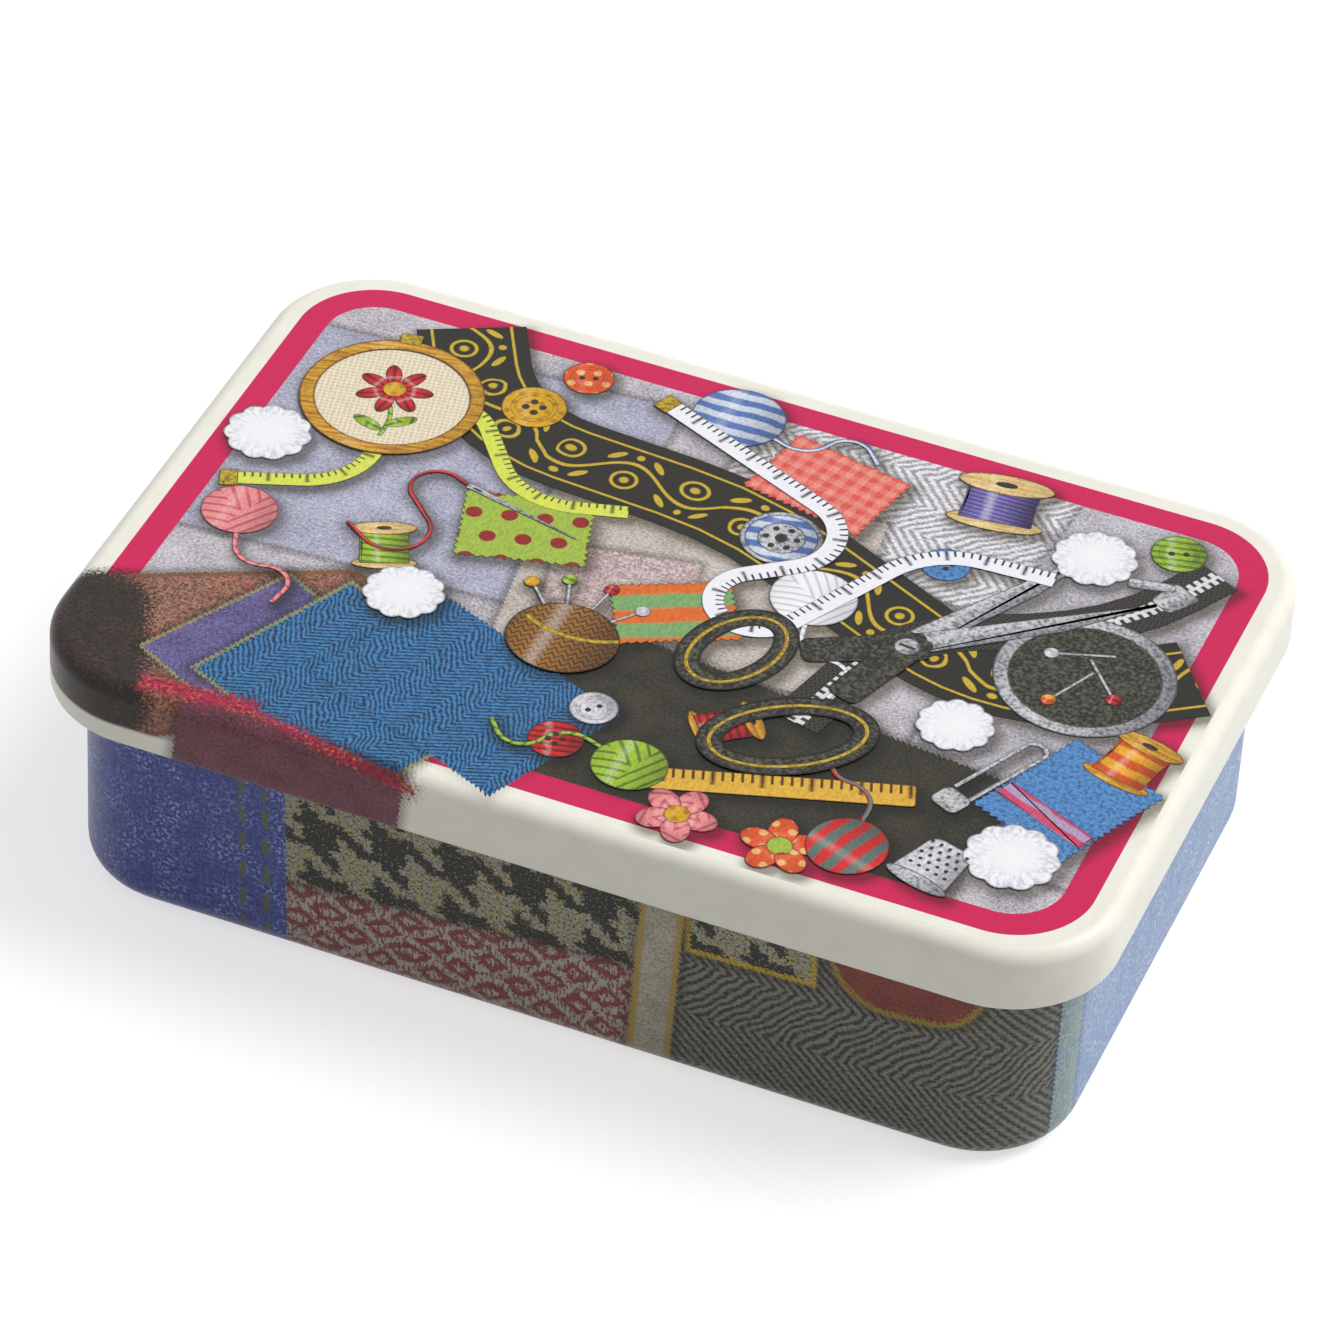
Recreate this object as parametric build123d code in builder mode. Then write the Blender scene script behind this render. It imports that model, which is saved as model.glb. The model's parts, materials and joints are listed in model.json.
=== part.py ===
from build123d import *
from math import acos, atan2, degrees, sqrt
import os

# Sewing tin: a drawn tinplate base, a drawn tinplate lid, and the hinge wire that joins them along the back.
# It stands closed. The origin is the middle of the underside, X runs along the length, Y across it with the
# front towards -Y and the hinge towards +Y, and Z is up. All sizes are in millimetres, and outside sizes
# unless their names say otherwise.

# Overall sizes
lid_length = 105.0
lid_width = 69.2
tin_height = 28.8
skirt_height = 6.8

# Stock
tinplate = 0.25
wire_diameter = 0.9

# Rounded corners and edges
lid_corner_radius = 10.8
base_corner_radius = 9.8
shoulder_radius = 1.5
bottom_edge_radius = 3.0

# Rolled edges
bead_diameter = 1.2
curl_gap = 0.15

# Hinge lugs, lanced out of the base's back wall and curled round the wire
hinge_spacing = 52.0
lug_width = 6.0
lug_riser = 1.3
lug_bend_radius = 0.5
lug_curl_turn = 185.0
wire_end_inset = 1.0
lid_open_angle = 115.0
stop_margin = 3.0

# Clearances
wire_clearance = 0.05
rim_clearance = 0.35
lid_gap = 0.15
lug_side_clearance = 0.3
lug_clearance = 0.3

# The lid's rolled hem goes round the wire, and the lugs' curls have the same size.
wire_radius = wire_diameter / 2
hem_radius = wire_radius + wire_clearance + tinplate
hem_mid_radius = hem_radius - tinplate / 2


def rolled_turn(roll_radius):
    """How far an edge rolls round, in degrees, until its end stands the curl gap off the wall it came from."""
    return 360 - degrees(acos((roll_radius - tinplate - curl_gap) / roll_radius))


# The base's bead passes inside the lid's hem as the lid opens and closes.
bead_radius = bead_diameter / 2
lid_overhang = 2 * hem_radius + rim_clearance + bead_diameter - tinplate
base_length = lid_length - 2 * lid_overhang
base_width = lid_width - 2 * lid_overhang
bead_axis_z = tin_height - tinplate - lid_gap - bead_radius

# The hinge axis runs along X through the back hem.
hinge_y = lid_width / 2 - hem_radius
hinge_z = tin_height - skirt_height + hem_radius
hinge_places = [(-hinge_spacing / 2, 0), (hinge_spacing / 2, 0)]

# Above the wire each notch in the lid's skirt clears the lug. With the lid fully open, the notch's upper edge
# stops against the lug's riser, which leans by the angle that makes it so.
notch_rise = sqrt((hem_radius + lug_clearance) ** 2 - (hem_radius - tinplate) ** 2)
notch_width = lug_width + 2 * lug_side_clearance
stop_angle = lid_open_angle + stop_margin
lug_lean = 2 * degrees(atan2(notch_rise, hem_radius)) - stop_angle


def half_outline(length, width, corner_radius):
    """The right half of a rounded rectangle, from the middle of the front to the middle of the back."""
    with BuildLine() as outline:
        front = Line((0, -width / 2), (length / 2 - corner_radius, -width / 2))
        front_corner = JernArc(start=front @ 1, tangent=front % 1, radius=corner_radius, arc_size=90)
        side = Line(front_corner @ 1, (length / 2, width / 2 - corner_radius))
        back_corner = JernArc(start=side @ 1, tangent=side % 1, radius=corner_radius, arc_size=90)
        Line(back_corner @ 1, (0, width / 2))
    return outline.wire()


def wall_plane(width):
    """The plane across the front wall at its middle: local x points out of the tin and local y points up."""
    return Plane(origin=(0, -width / 2, 0), x_dir=(0, -1, 0), z_dir=(-1, 0, 0))


# Base: floor, rounded bottom edge, wall and the outward bead along the rim
with BuildPart() as tin_base:
    with BuildSketch(wall_plane(base_width)) as base_section:
        with BuildLine():
            bottom_edge = CenterArc(
                (-bottom_edge_radius, bottom_edge_radius), bottom_edge_radius - tinplate / 2, -90, 90
            )
            base_wall = Line(bottom_edge @ 1, (-tinplate / 2, bead_axis_z))
            bead_mid_radius = bead_radius - tinplate / 2
            CenterArc((-tinplate + bead_radius, bead_axis_z), bead_mid_radius, 180, -rolled_turn(bead_radius))
        trace(line_width=tinplate)
    sweep(path=half_outline(base_length, base_width, base_corner_radius))
    mirror(about=Plane.YZ)
    with BuildSketch() as floor_outline:
        RectangleRounded(
            base_length - 2 * bottom_edge_radius,
            base_width - 2 * bottom_edge_radius,
            base_corner_radius - bottom_edge_radius,
        )
    extrude(amount=tinplate)

    # Each lug leaves the wall level, bends up along its riser and curls round the wire.
    back_wall = base_width / 2 - tinplate / 2 - hinge_y
    with BuildSketch(Plane(origin=(0, hinge_y, hinge_z), x_dir=(0, 1, 0), z_dir=(1, 0, 0))) as lug_section:
        with BuildLine() as lug_line:
            lug_curl = CenterArc((0, 0), hem_mid_radius, lug_lean, lug_curl_turn)
            riser_end = lug_curl @ 0 - (lug_curl % 0) * lug_riser
            riser = Line(lug_curl @ 0, riser_end)
            bend_mid_radius = lug_bend_radius + tinplate / 2
            lug_bend = JernArc(
                start=riser @ 1, tangent=riser % 1, radius=bend_mid_radius, arc_size=-(90 + lug_lean)
            )
            lug_root = Line(lug_bend @ 1, (back_wall, (lug_bend @ 1).Y))
        trace(line_width=tinplate)
    lug_root_z = hinge_z + (lug_root @ 1).Y
    lug_length = lug_line.wire().length
    window_bottom = lug_root_z + tinplate / 2
    window_top = lug_root_z + lug_length
    with BuildSketch(Plane.XZ.offset(-base_width / 2 - tinplate)) as lug_windows:
        with Locations((0, (window_bottom + window_top) / 2)):
            with Locations(*hinge_places):
                Rectangle(lug_width, window_top - window_bottom)
    extrude(amount=3 * tinplate, mode=Mode.SUBTRACT)
    for place_x, place_y in hinge_places:
        with Locations((place_x, place_y, 0)):
            add(extrude(lug_section.sketch, amount=lug_width / 2, both=True, mode=Mode.PRIVATE))

tin_base.part.label = "tin_base"

# Lid: top, rounded shoulder, skirt and the inward rolled hem along its lower edge
with BuildPart() as tin_lid:
    with BuildSketch(wall_plane(lid_width)) as lid_section:
        with BuildLine():
            shoulder_z = tin_height - shoulder_radius
            shoulder = CenterArc((-shoulder_radius, shoulder_z), shoulder_radius - tinplate / 2, 90, -90)
            Line(shoulder @ 1, (-tinplate / 2, hinge_z))
            CenterArc((-hem_radius, hinge_z), hem_mid_radius, 0, -rolled_turn(hem_radius))
        trace(line_width=tinplate)
    sweep(path=half_outline(lid_length, lid_width, lid_corner_radius))
    mirror(about=Plane.YZ)
    with BuildSketch(Plane.XY.offset(tin_height)) as top_outline:
        RectangleRounded(
            lid_length - 2 * shoulder_radius,
            lid_width - 2 * shoulder_radius,
            lid_corner_radius - shoulder_radius,
        )
    extrude(amount=-tinplate)

    # A notch at each lug, open below
    with BuildSketch(Plane.XZ.offset(-lid_width / 2 - tinplate)) as lug_notches:
        with Locations((0, hinge_z + notch_rise)):
            with Locations(*hinge_places):
                Rectangle(notch_width, skirt_height, align=(Align.CENTER, Align.MAX))
    extrude(amount=2 * hem_radius + 2 * tinplate, mode=Mode.SUBTRACT)

tin_lid.part.label = "tin_lid"

# Hinge wire, held in the lid's back hem and bare at the notches
with BuildPart() as hinge_wire:
    wire_length = lid_length - 2 * (lid_corner_radius + wire_end_inset)
    with BuildSketch(Plane(origin=(-wire_length / 2, hinge_y, hinge_z), z_dir=(1, 0, 0))) as wire_section:
        Circle(wire_radius)
    extrude(amount=wire_length)

hinge_wire.part.label = "hinge_wire"

for name, sub_part in (("tin_base", tin_base), ("tin_lid", tin_lid), ("hinge_wire", hinge_wire)):
    export_step(sub_part.part, f"parts/{name}.step")
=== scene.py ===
"""Looks of a small hinged sewing tin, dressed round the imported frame.

Sizes and places in the classes are in millimetres, with the frame's own origin and axes, and every mesh is
written in metres. The print's own places are given on the flat sheet: on the lid they are x and y seen from
above, and on the base they are the distance round the wall from the middle of the front, and the height.
"""

from __future__ import annotations

import json
import logging
import math
from dataclasses import dataclass
from enum import Enum
from typing import Callable, ClassVar, Sequence, Union

import bmesh
import bpy
from mathutils import Matrix, Vector
from mathutils.bvhtree import BVHTree


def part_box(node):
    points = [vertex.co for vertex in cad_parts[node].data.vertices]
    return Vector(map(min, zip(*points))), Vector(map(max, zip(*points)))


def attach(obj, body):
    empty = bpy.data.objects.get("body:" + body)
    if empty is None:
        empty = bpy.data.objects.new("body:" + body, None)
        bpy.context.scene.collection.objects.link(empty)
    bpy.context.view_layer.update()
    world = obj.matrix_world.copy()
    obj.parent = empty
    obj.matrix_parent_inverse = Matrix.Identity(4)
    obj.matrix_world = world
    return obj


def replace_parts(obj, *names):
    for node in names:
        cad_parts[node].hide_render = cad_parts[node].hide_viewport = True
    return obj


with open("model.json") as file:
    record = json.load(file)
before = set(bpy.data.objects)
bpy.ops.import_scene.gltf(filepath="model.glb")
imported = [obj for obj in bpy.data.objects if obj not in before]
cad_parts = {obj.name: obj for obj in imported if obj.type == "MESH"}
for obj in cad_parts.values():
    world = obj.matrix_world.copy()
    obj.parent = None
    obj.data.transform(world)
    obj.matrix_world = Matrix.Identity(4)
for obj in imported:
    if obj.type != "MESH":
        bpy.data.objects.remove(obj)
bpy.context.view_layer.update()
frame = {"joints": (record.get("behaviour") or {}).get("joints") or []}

log = logging.getLogger("sewing_tin")
MM = 0.001

Socket = bpy.types.NodeSocket
Colour = tuple[float, float, float, float]
Place = tuple[float, float]
Operand = Union[Socket, float]


def ink(red: float, green: float, blue: float) -> Colour:
    """Mix a printed colour.

    Args:
        red: Red share, 0 to 255, as it looks on a screen.
        green: Green share, 0 to 255.
        blue: Blue share, 0 to 255.

    Returns:
        The linear colour that a shader takes.
    """
    shares = (share / 255 for share in (red, green, blue))
    linear = [s / 12.92 if s <= 0.04045 else ((s + 0.055) / 1.055) ** 2.4 for s in shares]
    return (linear[0], linear[1], linear[2], 1.0)


# ---------------------------------------------------------------------------------------------------------
# Node graphs
# ---------------------------------------------------------------------------------------------------------


class Graph:
    """A node tree that is built with short calls, each of which hands back the socket of its result."""

    def __init__(self, tree: bpy.types.NodeTree) -> None:
        """Take the tree that the calls add to."""
        self.tree = tree

    def node(self, kind: str, **settings: object) -> bpy.types.Node:
        """Add a node.

        Args:
            kind: The node's type name.
            **settings: Values of the node's own properties.

        Returns:
            The new node.
        """
        made = self.tree.nodes.new(kind)
        for name, value in settings.items():
            setattr(made, name, value)
        return made

    def feed(self, socket: Socket, value: object) -> None:
        """Link a socket to another one, or set its own value.

        Args:
            socket: The input to feed.
            value: A socket to link from, or a plain value.
        """
        if isinstance(value, bpy.types.NodeSocket):
            self.tree.links.new(value, socket)
        else:
            socket.default_value = value

    def math(self, operation: str, *values: Operand, clamp: bool = False) -> Socket:
        """Work out one number.

        Args:
            operation: The Math node's operation.
            *values: Its operands.
            clamp: Whether the result is kept between 0 and 1.

        Returns:
            The result's socket.
        """
        made = self.node("ShaderNodeMath", operation=operation, use_clamp=clamp)
        for socket, value in zip(made.inputs, values):
            self.feed(socket, value)
        return made.outputs[0]

    def vector(self, operation: str, *values: object) -> Socket:
        """Work out one vector.

        Args:
            operation: The Vector Math node's operation.
            *values: Its operands.

        Returns:
            The result's socket.
        """
        made = self.node("ShaderNodeVectorMath", operation=operation)
        for socket, value in zip(made.inputs, values):
            self.feed(socket, value)
        return made.outputs[0]

    def scaled(self, vector: Socket, factor: Operand) -> Socket:
        """Scale a vector.

        Args:
            vector: The vector's socket.
            factor: What its length is multiplied by.

        Returns:
            The scaled vector's socket.
        """
        made = self.node("ShaderNodeVectorMath", operation="SCALE")
        self.feed(made.inputs["Vector"], vector)
        self.feed(made.inputs["Scale"], factor)
        return made.outputs[0]

    def split(self, vector: Socket) -> tuple[Socket, Socket, Socket]:
        """Return the three parts of a vector."""
        made = self.node("ShaderNodeSeparateXYZ")
        self.feed(made.inputs[0], vector)
        return made.outputs[0], made.outputs[1], made.outputs[2]

    def join(self, x: Operand, y: Operand, z: Operand = 0.0) -> Socket:
        """Return the vector that has these three parts."""
        made = self.node("ShaderNodeCombineXYZ")
        for socket, value in zip(made.inputs, (x, y, z)):
            self.feed(socket, value)
        return made.outputs[0]

    def mix(self, factor: Operand, first: object, second: object, blend: str = "MIX") -> Socket:
        """Mix two colours.

        Args:
            factor: 0 for the first colour, 1 for the second.
            first: The first colour, or its socket.
            second: The second colour, or its socket.
            blend: The Mix node's blend type.

        Returns:
            The mixed colour's socket.
        """
        made = self.node("ShaderNodeMix", data_type="RGBA", blend_type=blend)
        self.feed(made.inputs[0], factor)
        self.feed(made.inputs[6], first)
        self.feed(made.inputs[7], second)
        return made.outputs[2]

    def between(self, factor: Operand, first: Operand, second: Operand) -> Socket:
        """Return a number between two others, 0 giving the first and 1 the second."""
        made = self.node("ShaderNodeMix", data_type="FLOAT")
        for index, value in zip((0, 2, 3), (factor, first, second)):
            self.feed(made.inputs[index], value)
        return made.outputs[0]

    def rise(self, value: Operand, low: Operand, high: Operand) -> Socket:
        """Go smoothly from 0 to 1.

        Args:
            value: The number that is looked at.
            low: Where the result leaves 0.
            high: Where the result reaches 1, which may lie below low.

        Returns:
            The socket of a number from 0 to 1.
        """
        made = self.node("ShaderNodeMapRange", interpolation_type="SMOOTHSTEP", clamp=False)
        for name, number in zip(("Value", "From Min", "From Max"), (value, low, high)):
            self.feed(made.inputs[name], number)
        return made.outputs[0]

    def noise(self, vector: Socket, scale: Operand, detail: float = 2.0, rough: float = 0.5) -> Socket:
        """Add noise that is about 0.5 on average.

        Args:
            vector: Where the noise is read.
            scale: Its scale.
            detail: How many finer layers it has.
            rough: How strong the finer layers are.

        Returns:
            The noise's socket.
        """
        made = self.node("ShaderNodeTexNoise")
        for name, value in (("Vector", vector), ("Scale", scale), ("Detail", detail), ("Roughness", rough)):
            self.feed(made.inputs[name], value)
        return made.outputs[0]

    def object_place(self) -> Socket:
        """Return the place on the piece in millimetres, from its Object coordinates."""
        return self.scaled(self.node("ShaderNodeTexCoord").outputs["Object"], 1 / MM)

    def sheet_place(self, uv_map: str) -> Socket:
        """Return the place on the flat sheet in millimetres, from the piece's UV map."""
        return self.node("ShaderNodeUVMap", uv_map=uv_map).outputs[0]

    def attribute(self, name: str) -> Socket:
        """Return a number that the piece's mesh carries under this name."""
        return self.node("ShaderNodeAttribute", attribute_name=name).outputs["Fac"]


SocketMap = dict[str, Socket]


@dataclass(frozen=True)
class SharedGroup:
    """A node group that several finishes place with their own values, built at its first use."""

    name: str
    inputs: dict[str, str]
    outputs: dict[str, str]
    build: Callable[[Graph, SocketMap], SocketMap]

    def tree(self) -> bpy.types.NodeTree:
        """Return the group's tree, building it if this is its first use."""
        found = bpy.data.node_groups.get(self.name)
        if found:
            return found
        made = bpy.data.node_groups.new(self.name, "ShaderNodeTree")
        for name, kind in self.inputs.items():
            made.interface.new_socket(name, in_out="INPUT", socket_type=f"NodeSocket{kind}")
        for name, kind in self.outputs.items():
            made.interface.new_socket(name, in_out="OUTPUT", socket_type=f"NodeSocket{kind}")
        graph = Graph(made)
        given = graph.node("NodeGroupInput").outputs
        results = self.build(graph, {name: given[name] for name in self.inputs})
        sink = graph.node("NodeGroupOutput").inputs
        for name, socket in results.items():
            graph.feed(sink[name], socket)
        return made

    def place(self, graph: Graph, values: dict[str, object]) -> SocketMap:
        """Place the group in a graph.

        Args:
            graph: The graph that takes it.
            values: A value or a socket for each of its inputs.

        Returns:
            Its outputs by name.
        """
        made = graph.node("ShaderNodeGroup", node_tree=self.tree())
        for name, value in values.items():
            graph.feed(made.inputs[name], value)
        return {name: made.outputs[name] for name in self.outputs}


def sockets(**names: str) -> dict[str, str]:
    """Return a group's socket types by socket name, from comma-separated names for each type."""
    return {name: kind for kind, listed in names.items() for name in listed.split(",")}


WOVEN = sockets(Color="Colour", Float="Height")


def _round_panel(graph: Graph, given: SocketMap) -> SocketMap:
    """Measure how far a place lies outside a rounded rectangle that is centred on the origin."""
    straight_x = graph.math("SUBTRACT", given["Half Length"], given["Corner"])
    straight_y = graph.math("SUBTRACT", given["Half Width"], given["Corner"])
    past_x = graph.math("SUBTRACT", graph.math("ABSOLUTE", given["X"]), straight_x)
    past_y = graph.math("SUBTRACT", graph.math("ABSOLUTE", given["Y"]), straight_y)
    out_x = graph.math("MAXIMUM", past_x, 0.0)
    out_y = graph.math("MAXIMUM", past_y, 0.0)
    squares = graph.math("MULTIPLY_ADD", out_x, out_x, graph.math("MULTIPLY", out_y, out_y))
    inner = graph.math("MINIMUM", graph.math("MAXIMUM", past_x, past_y), 0.0)
    reach = graph.math("ADD", graph.math("SQRT", squares), inner)
    return {"Outside": graph.math("SUBTRACT", reach, given["Corner"])}


ROUND_PANEL = SharedGroup(
    "round_panel", sockets(Float="X,Y,Half Length,Half Width,Corner"), sockets(Float="Outside"), _round_panel
)


def _sheet_fields(graph: Graph, given: SocketMap) -> SocketMap:
    """Work out what all the cloths of one print share, so that it is worked out only once."""
    point = given["Point"]
    grain = graph.noise(point, 3.3, 3.0, 0.8)
    fleck = graph.noise(graph.vector("ADD", point, (31.0, 17.0, 0.0)), 2.5, 1.0)
    cloud = graph.noise(point, 0.33, 1.0)
    warp = graph.noise(graph.vector("MULTIPLY", point, (3.8, 1.0, 1.0)), 1.0, 1.0, 0.7)
    weft = graph.noise(graph.vector("MULTIPLY", point, (1.0, 3.8, 1.0)), 1.0, 1.0, 0.7)
    x, y, _ = graph.split(point)
    cross = graph.math("MAXIMUM", warp, weft)
    matted = graph.math("MULTIPLY_ADD", grain, 2.6, graph.math("MULTIPLY_ADD", cloud, 0.7, -1.3))
    slubs = graph.math("MULTIPLY_ADD", grain, 1.2, graph.math("SUBTRACT", cross, 0.6))
    broken = graph.math("MULTIPLY_ADD", graph.math("ADD", fleck, weft), 0.8, -1.6)
    return {
        "X": x,
        "Y": y,
        "Grain": grain,
        "Fleck": fleck,
        "Cloud": cloud,
        "Warp": warp,
        "Weft": weft,
        "Cross": cross,
        "Rough": graph.math("SUBTRACT", grain, 0.5),
        "Worn": graph.rise(grain, 0.36, 0.5),
        "Matted": graph.rise(matted, -0.25, 0.95),
        "Specks": graph.math("MULTIPLY", graph.rise(fleck, 0.56, 0.68), 0.6),
        "Slubs": graph.rise(slubs, 0.34, 0.78),
        "Knots": graph.math("MULTIPLY", graph.rise(fleck, 0.52, 0.64), graph.rise(cloud, 0.3, 0.7)),
        "Yarn": graph.math("MULTIPLY_ADD", grain, 1.9, broken),
        "Shake": graph.math("MULTIPLY_ADD", fleck, 1.5, graph.math("MULTIPLY_ADD", grain, 1.2, -1.35)),
    }


FIELDS = sockets(
    Float="X,Y,Grain,Fleck,Cloud,Warp,Weft,Cross,Rough,Worn,Matted,Specks,Slubs,Knots,Yarn,Shake"
)
SHEET_FIELDS = SharedGroup("sheet_fields", sockets(Vector="Point"), FIELDS, _sheet_fields)


def _scrap(graph: Graph, given: SocketMap) -> SocketMap:
    """Measure how far a place lies outside a turned scrap with a pinked edge, and turn the place with it."""
    x = graph.math("SUBTRACT", given["X"], given["Centre X"])
    y = graph.math("SUBTRACT", given["Y"], given["Centre Y"])
    along = graph.math("MULTIPLY_ADD", x, given["Cosine"], graph.math("MULTIPLY", y, given["Sine"]))
    leaning = graph.math("MULTIPLY", x, given["Sine"])
    across = graph.math("SUBTRACT", graph.math("MULTIPLY", y, given["Cosine"]), leaning)
    sizes = {name: given[name] for name in ("Half Length", "Half Width", "Corner")}
    past = ROUND_PANEL.place(graph, {"X": along, "Y": across, **sizes})["Outside"]
    teeth = graph.math("PINGPONG", graph.math("ADD", along, across), given["Tooth"])
    frayed = graph.math("MULTIPLY_ADD", given["Rough"], given["Fray"], teeth)
    return {"Outside": graph.math("ADD", past, frayed), "Along": along, "Across": across}


SCRAP = SharedGroup(
    "scrap",
    sockets(Float="X,Y,Rough,Centre X,Centre Y,Cosine,Sine,Half Length,Half Width,Corner,Tooth,Fray"),
    sockets(Float="Outside,Along,Across"),
    _scrap,
)


def _herringbone(graph: Graph, given: SocketMap) -> SocketMap:
    """Colour herringbone twill: ribs that lean one way and the other in columns, in broken, uneven yarn."""
    drift = given["Cloud"]
    zigzag = graph.math("PINGPONG", graph.math("MULTIPLY_ADD", drift, 0.9, given["X"]), given["Column"])
    lift = graph.math("ADD", graph.math("MULTIPLY_ADD", drift, 1.1, given["Y"]), zigzag)
    phase = graph.math("MULTIPLY", graph.math("DIVIDE", lift, given["Rib"]), 2 * math.pi)
    ribs = graph.math("MULTIPLY_ADD", graph.math("SINE", phase), 0.5, 0.5)
    blend = graph.math("MULTIPLY_ADD", ribs, 0.66, given["Yarn"])
    return {
        "Colour": graph.mix(graph.rise(blend, 0.0, 1.0), given["Dark"], given["Light"]),
        "Height": ribs,
    }


HERRINGBONE = SharedGroup(
    "herringbone_twill", sockets(Float="X,Y,Yarn,Cloud,Column,Rib", Color="Dark,Light"), WOVEN, _herringbone
)


def _check(graph: Graph, given: SocketMap) -> SocketMap:
    """Colour houndstooth: four dark threads and four light ones each way, in a two and two twill."""
    across = graph.math("ADD", given["X"], given["Shake"])
    along = graph.math("SUBTRACT", given["Y"], given["Shake"])
    warp = graph.math("FLOOR", graph.math("DIVIDE", across, given["Thread"]))
    weft = graph.math("FLOOR", graph.math("DIVIDE", along, given["Thread"]))
    warp_dark = graph.math("LESS_THAN", graph.math("FLOORED_MODULO", warp, 8.0), 4.0)
    weft_dark = graph.math("LESS_THAN", graph.math("FLOORED_MODULO", weft, 8.0), 4.0)
    over = graph.math("LESS_THAN", graph.math("FLOORED_MODULO", graph.math("ADD", warp, weft), 4.0), 2.0)
    dark = graph.between(over, weft_dark, warp_dark)
    light = graph.mix(graph.rise(given["Weft"], 0.5, 0.6), given["Light"], given["Tint"])
    shaded = graph.mix(graph.rise(given["Grain"], 0.56, 0.36), light, given["Dark"])
    share = graph.math("MULTIPLY", dark, graph.rise(given["Grain"], 0.7, 0.55))
    return {"Colour": graph.mix(share, shaded, given["Dark"]), "Height": given["Grain"]}


CHECK = SharedGroup(
    "houndstooth_check", sockets(Float="X,Y,Grain,Shake,Weft,Thread", Color="Dark,Light,Tint"), WOVEN, _check
)


def _jacquard(graph: Graph, given: SocketMap) -> SocketMap:
    """Colour a jacquard weave: a lattice of broken pale stitches with a pale spot in every diamond."""
    shaken = graph.math("MULTIPLY_ADD", given["Cloud"], 3.0, graph.math("MULTIPLY", given["Fleck"], 1.6))
    half = graph.math("DIVIDE", given["Repeat"], 2.0)
    across = graph.math("ADD", given["X"], shaken)
    rising = graph.math("PINGPONG", graph.math("MULTIPLY_ADD", given["Y"], 1.5, across), half)
    falling = graph.math("PINGPONG", graph.math("MULTIPLY_ADD", given["Y"], -1.5, across), half)
    line = graph.rise(graph.math("MINIMUM", rising, falling), 1.0, 0.55)
    heart = graph.math("SUBTRACT", half, graph.math("MINIMUM", rising, falling))
    spot = graph.rise(heart, 1.15, 0.75)
    stitches = graph.rise(graph.math("MULTIPLY_ADD", given["Grain"], 0.7, given["Warp"]), 0.72, 0.9)
    share = graph.math("MULTIPLY", graph.math("MAXIMUM", line, spot), stitches)
    ground = graph.mix(graph.rise(given["Grain"], 0.32, 0.68), given["Dark"], given["Tint"])
    return {"Colour": graph.mix(share, ground, given["Light"]), "Height": given["Warp"]}


JACQUARD = SharedGroup(
    "jacquard_diamonds",
    sockets(Float="X,Y,Grain,Fleck,Cloud,Warp,Repeat", Color="Dark,Light,Tint"),
    WOVEN,
    _jacquard,
)


def _pencil_grain(graph: Graph, given: SocketMap) -> SocketMap:
    """Break a printed colour into the fine strokes and tooth of coloured pencil on paper."""
    strokes = graph.math(
        "MULTIPLY_ADD", given["Stroke"], 0.9, graph.math("MULTIPLY_ADD", given["Grain"], 1.6, -0.75)
    )
    darker = graph.mix(graph.rise(strokes, 0.1, 0.8), (0.5, 0.48, 0.48, 1.0), (1.08, 1.08, 1.08, 1.0))
    worked = graph.mix(1.0, given["Colour"], darker, "MULTIPLY")
    return {"Colour": graph.mix(given["Amount"], given["Colour"], worked)}


PENCIL_GRAIN = SharedGroup(
    "pencil_grain", sockets(Color="Colour", Float="Grain,Stroke,Amount"),
    sockets(Color="Colour"), _pencil_grain
)


def _sheet_surface(graph: Graph, given: SocketMap) -> SocketMap:
    """Give the roughness and the low ripple of varnish on rolled tinplate."""
    smears = graph.noise(given["Point"], 0.12, 2.0, 0.6)
    scratches = graph.noise(graph.vector("MULTIPLY", given["Point"], (0.25, 5.0, 1.0)), 1.0, 0.0, 0.7)
    fine = graph.rise(scratches, 0.7, 0.8)
    rough = graph.math("MULTIPLY_ADD", smears, 0.16, given["Base"])
    peel = graph.noise(given["Point"], 1.3, 0.0, 0.4)
    return {
        "Roughness": graph.math("MULTIPLY_ADD", fine, 0.08, rough),
        "Height": graph.math("MULTIPLY_ADD", fine, -0.2, peel),
    }


SHEET_SURFACE = SharedGroup(
    "sheet_surface", sockets(Vector="Point", Float="Base"), sockets(Float="Roughness,Height"), _sheet_surface
)


def _edge_wear(graph: Graph, given: SocketMap) -> SocketMap:
    """Show where an edge has rubbed through its print, most where the edge stands out most."""
    patches = graph.noise(given["Point"], 0.9, 4.0, 0.75)
    limit = graph.math("SUBTRACT", 1.15, graph.math("MULTIPLY", given["Edge"], given["Amount"]))
    return {"Mask": graph.rise(patches, limit, graph.math("ADD", limit, 0.06))}


EDGE_WEAR = SharedGroup(
    "edge_wear", sockets(Vector="Point", Float="Edge,Amount"), sockets(Float="Mask"), _edge_wear
)


# ---------------------------------------------------------------------------------------------------------
# Cloths that the print shows
# ---------------------------------------------------------------------------------------------------------

Woven = tuple[Socket, Socket]
Spot = tuple[Socket, Socket]


def at(spot: Spot) -> SocketMap:
    """Return a spot's x and y by the names that the groups take them by."""
    return {"X": spot[0], "Y": spot[1]}


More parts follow.
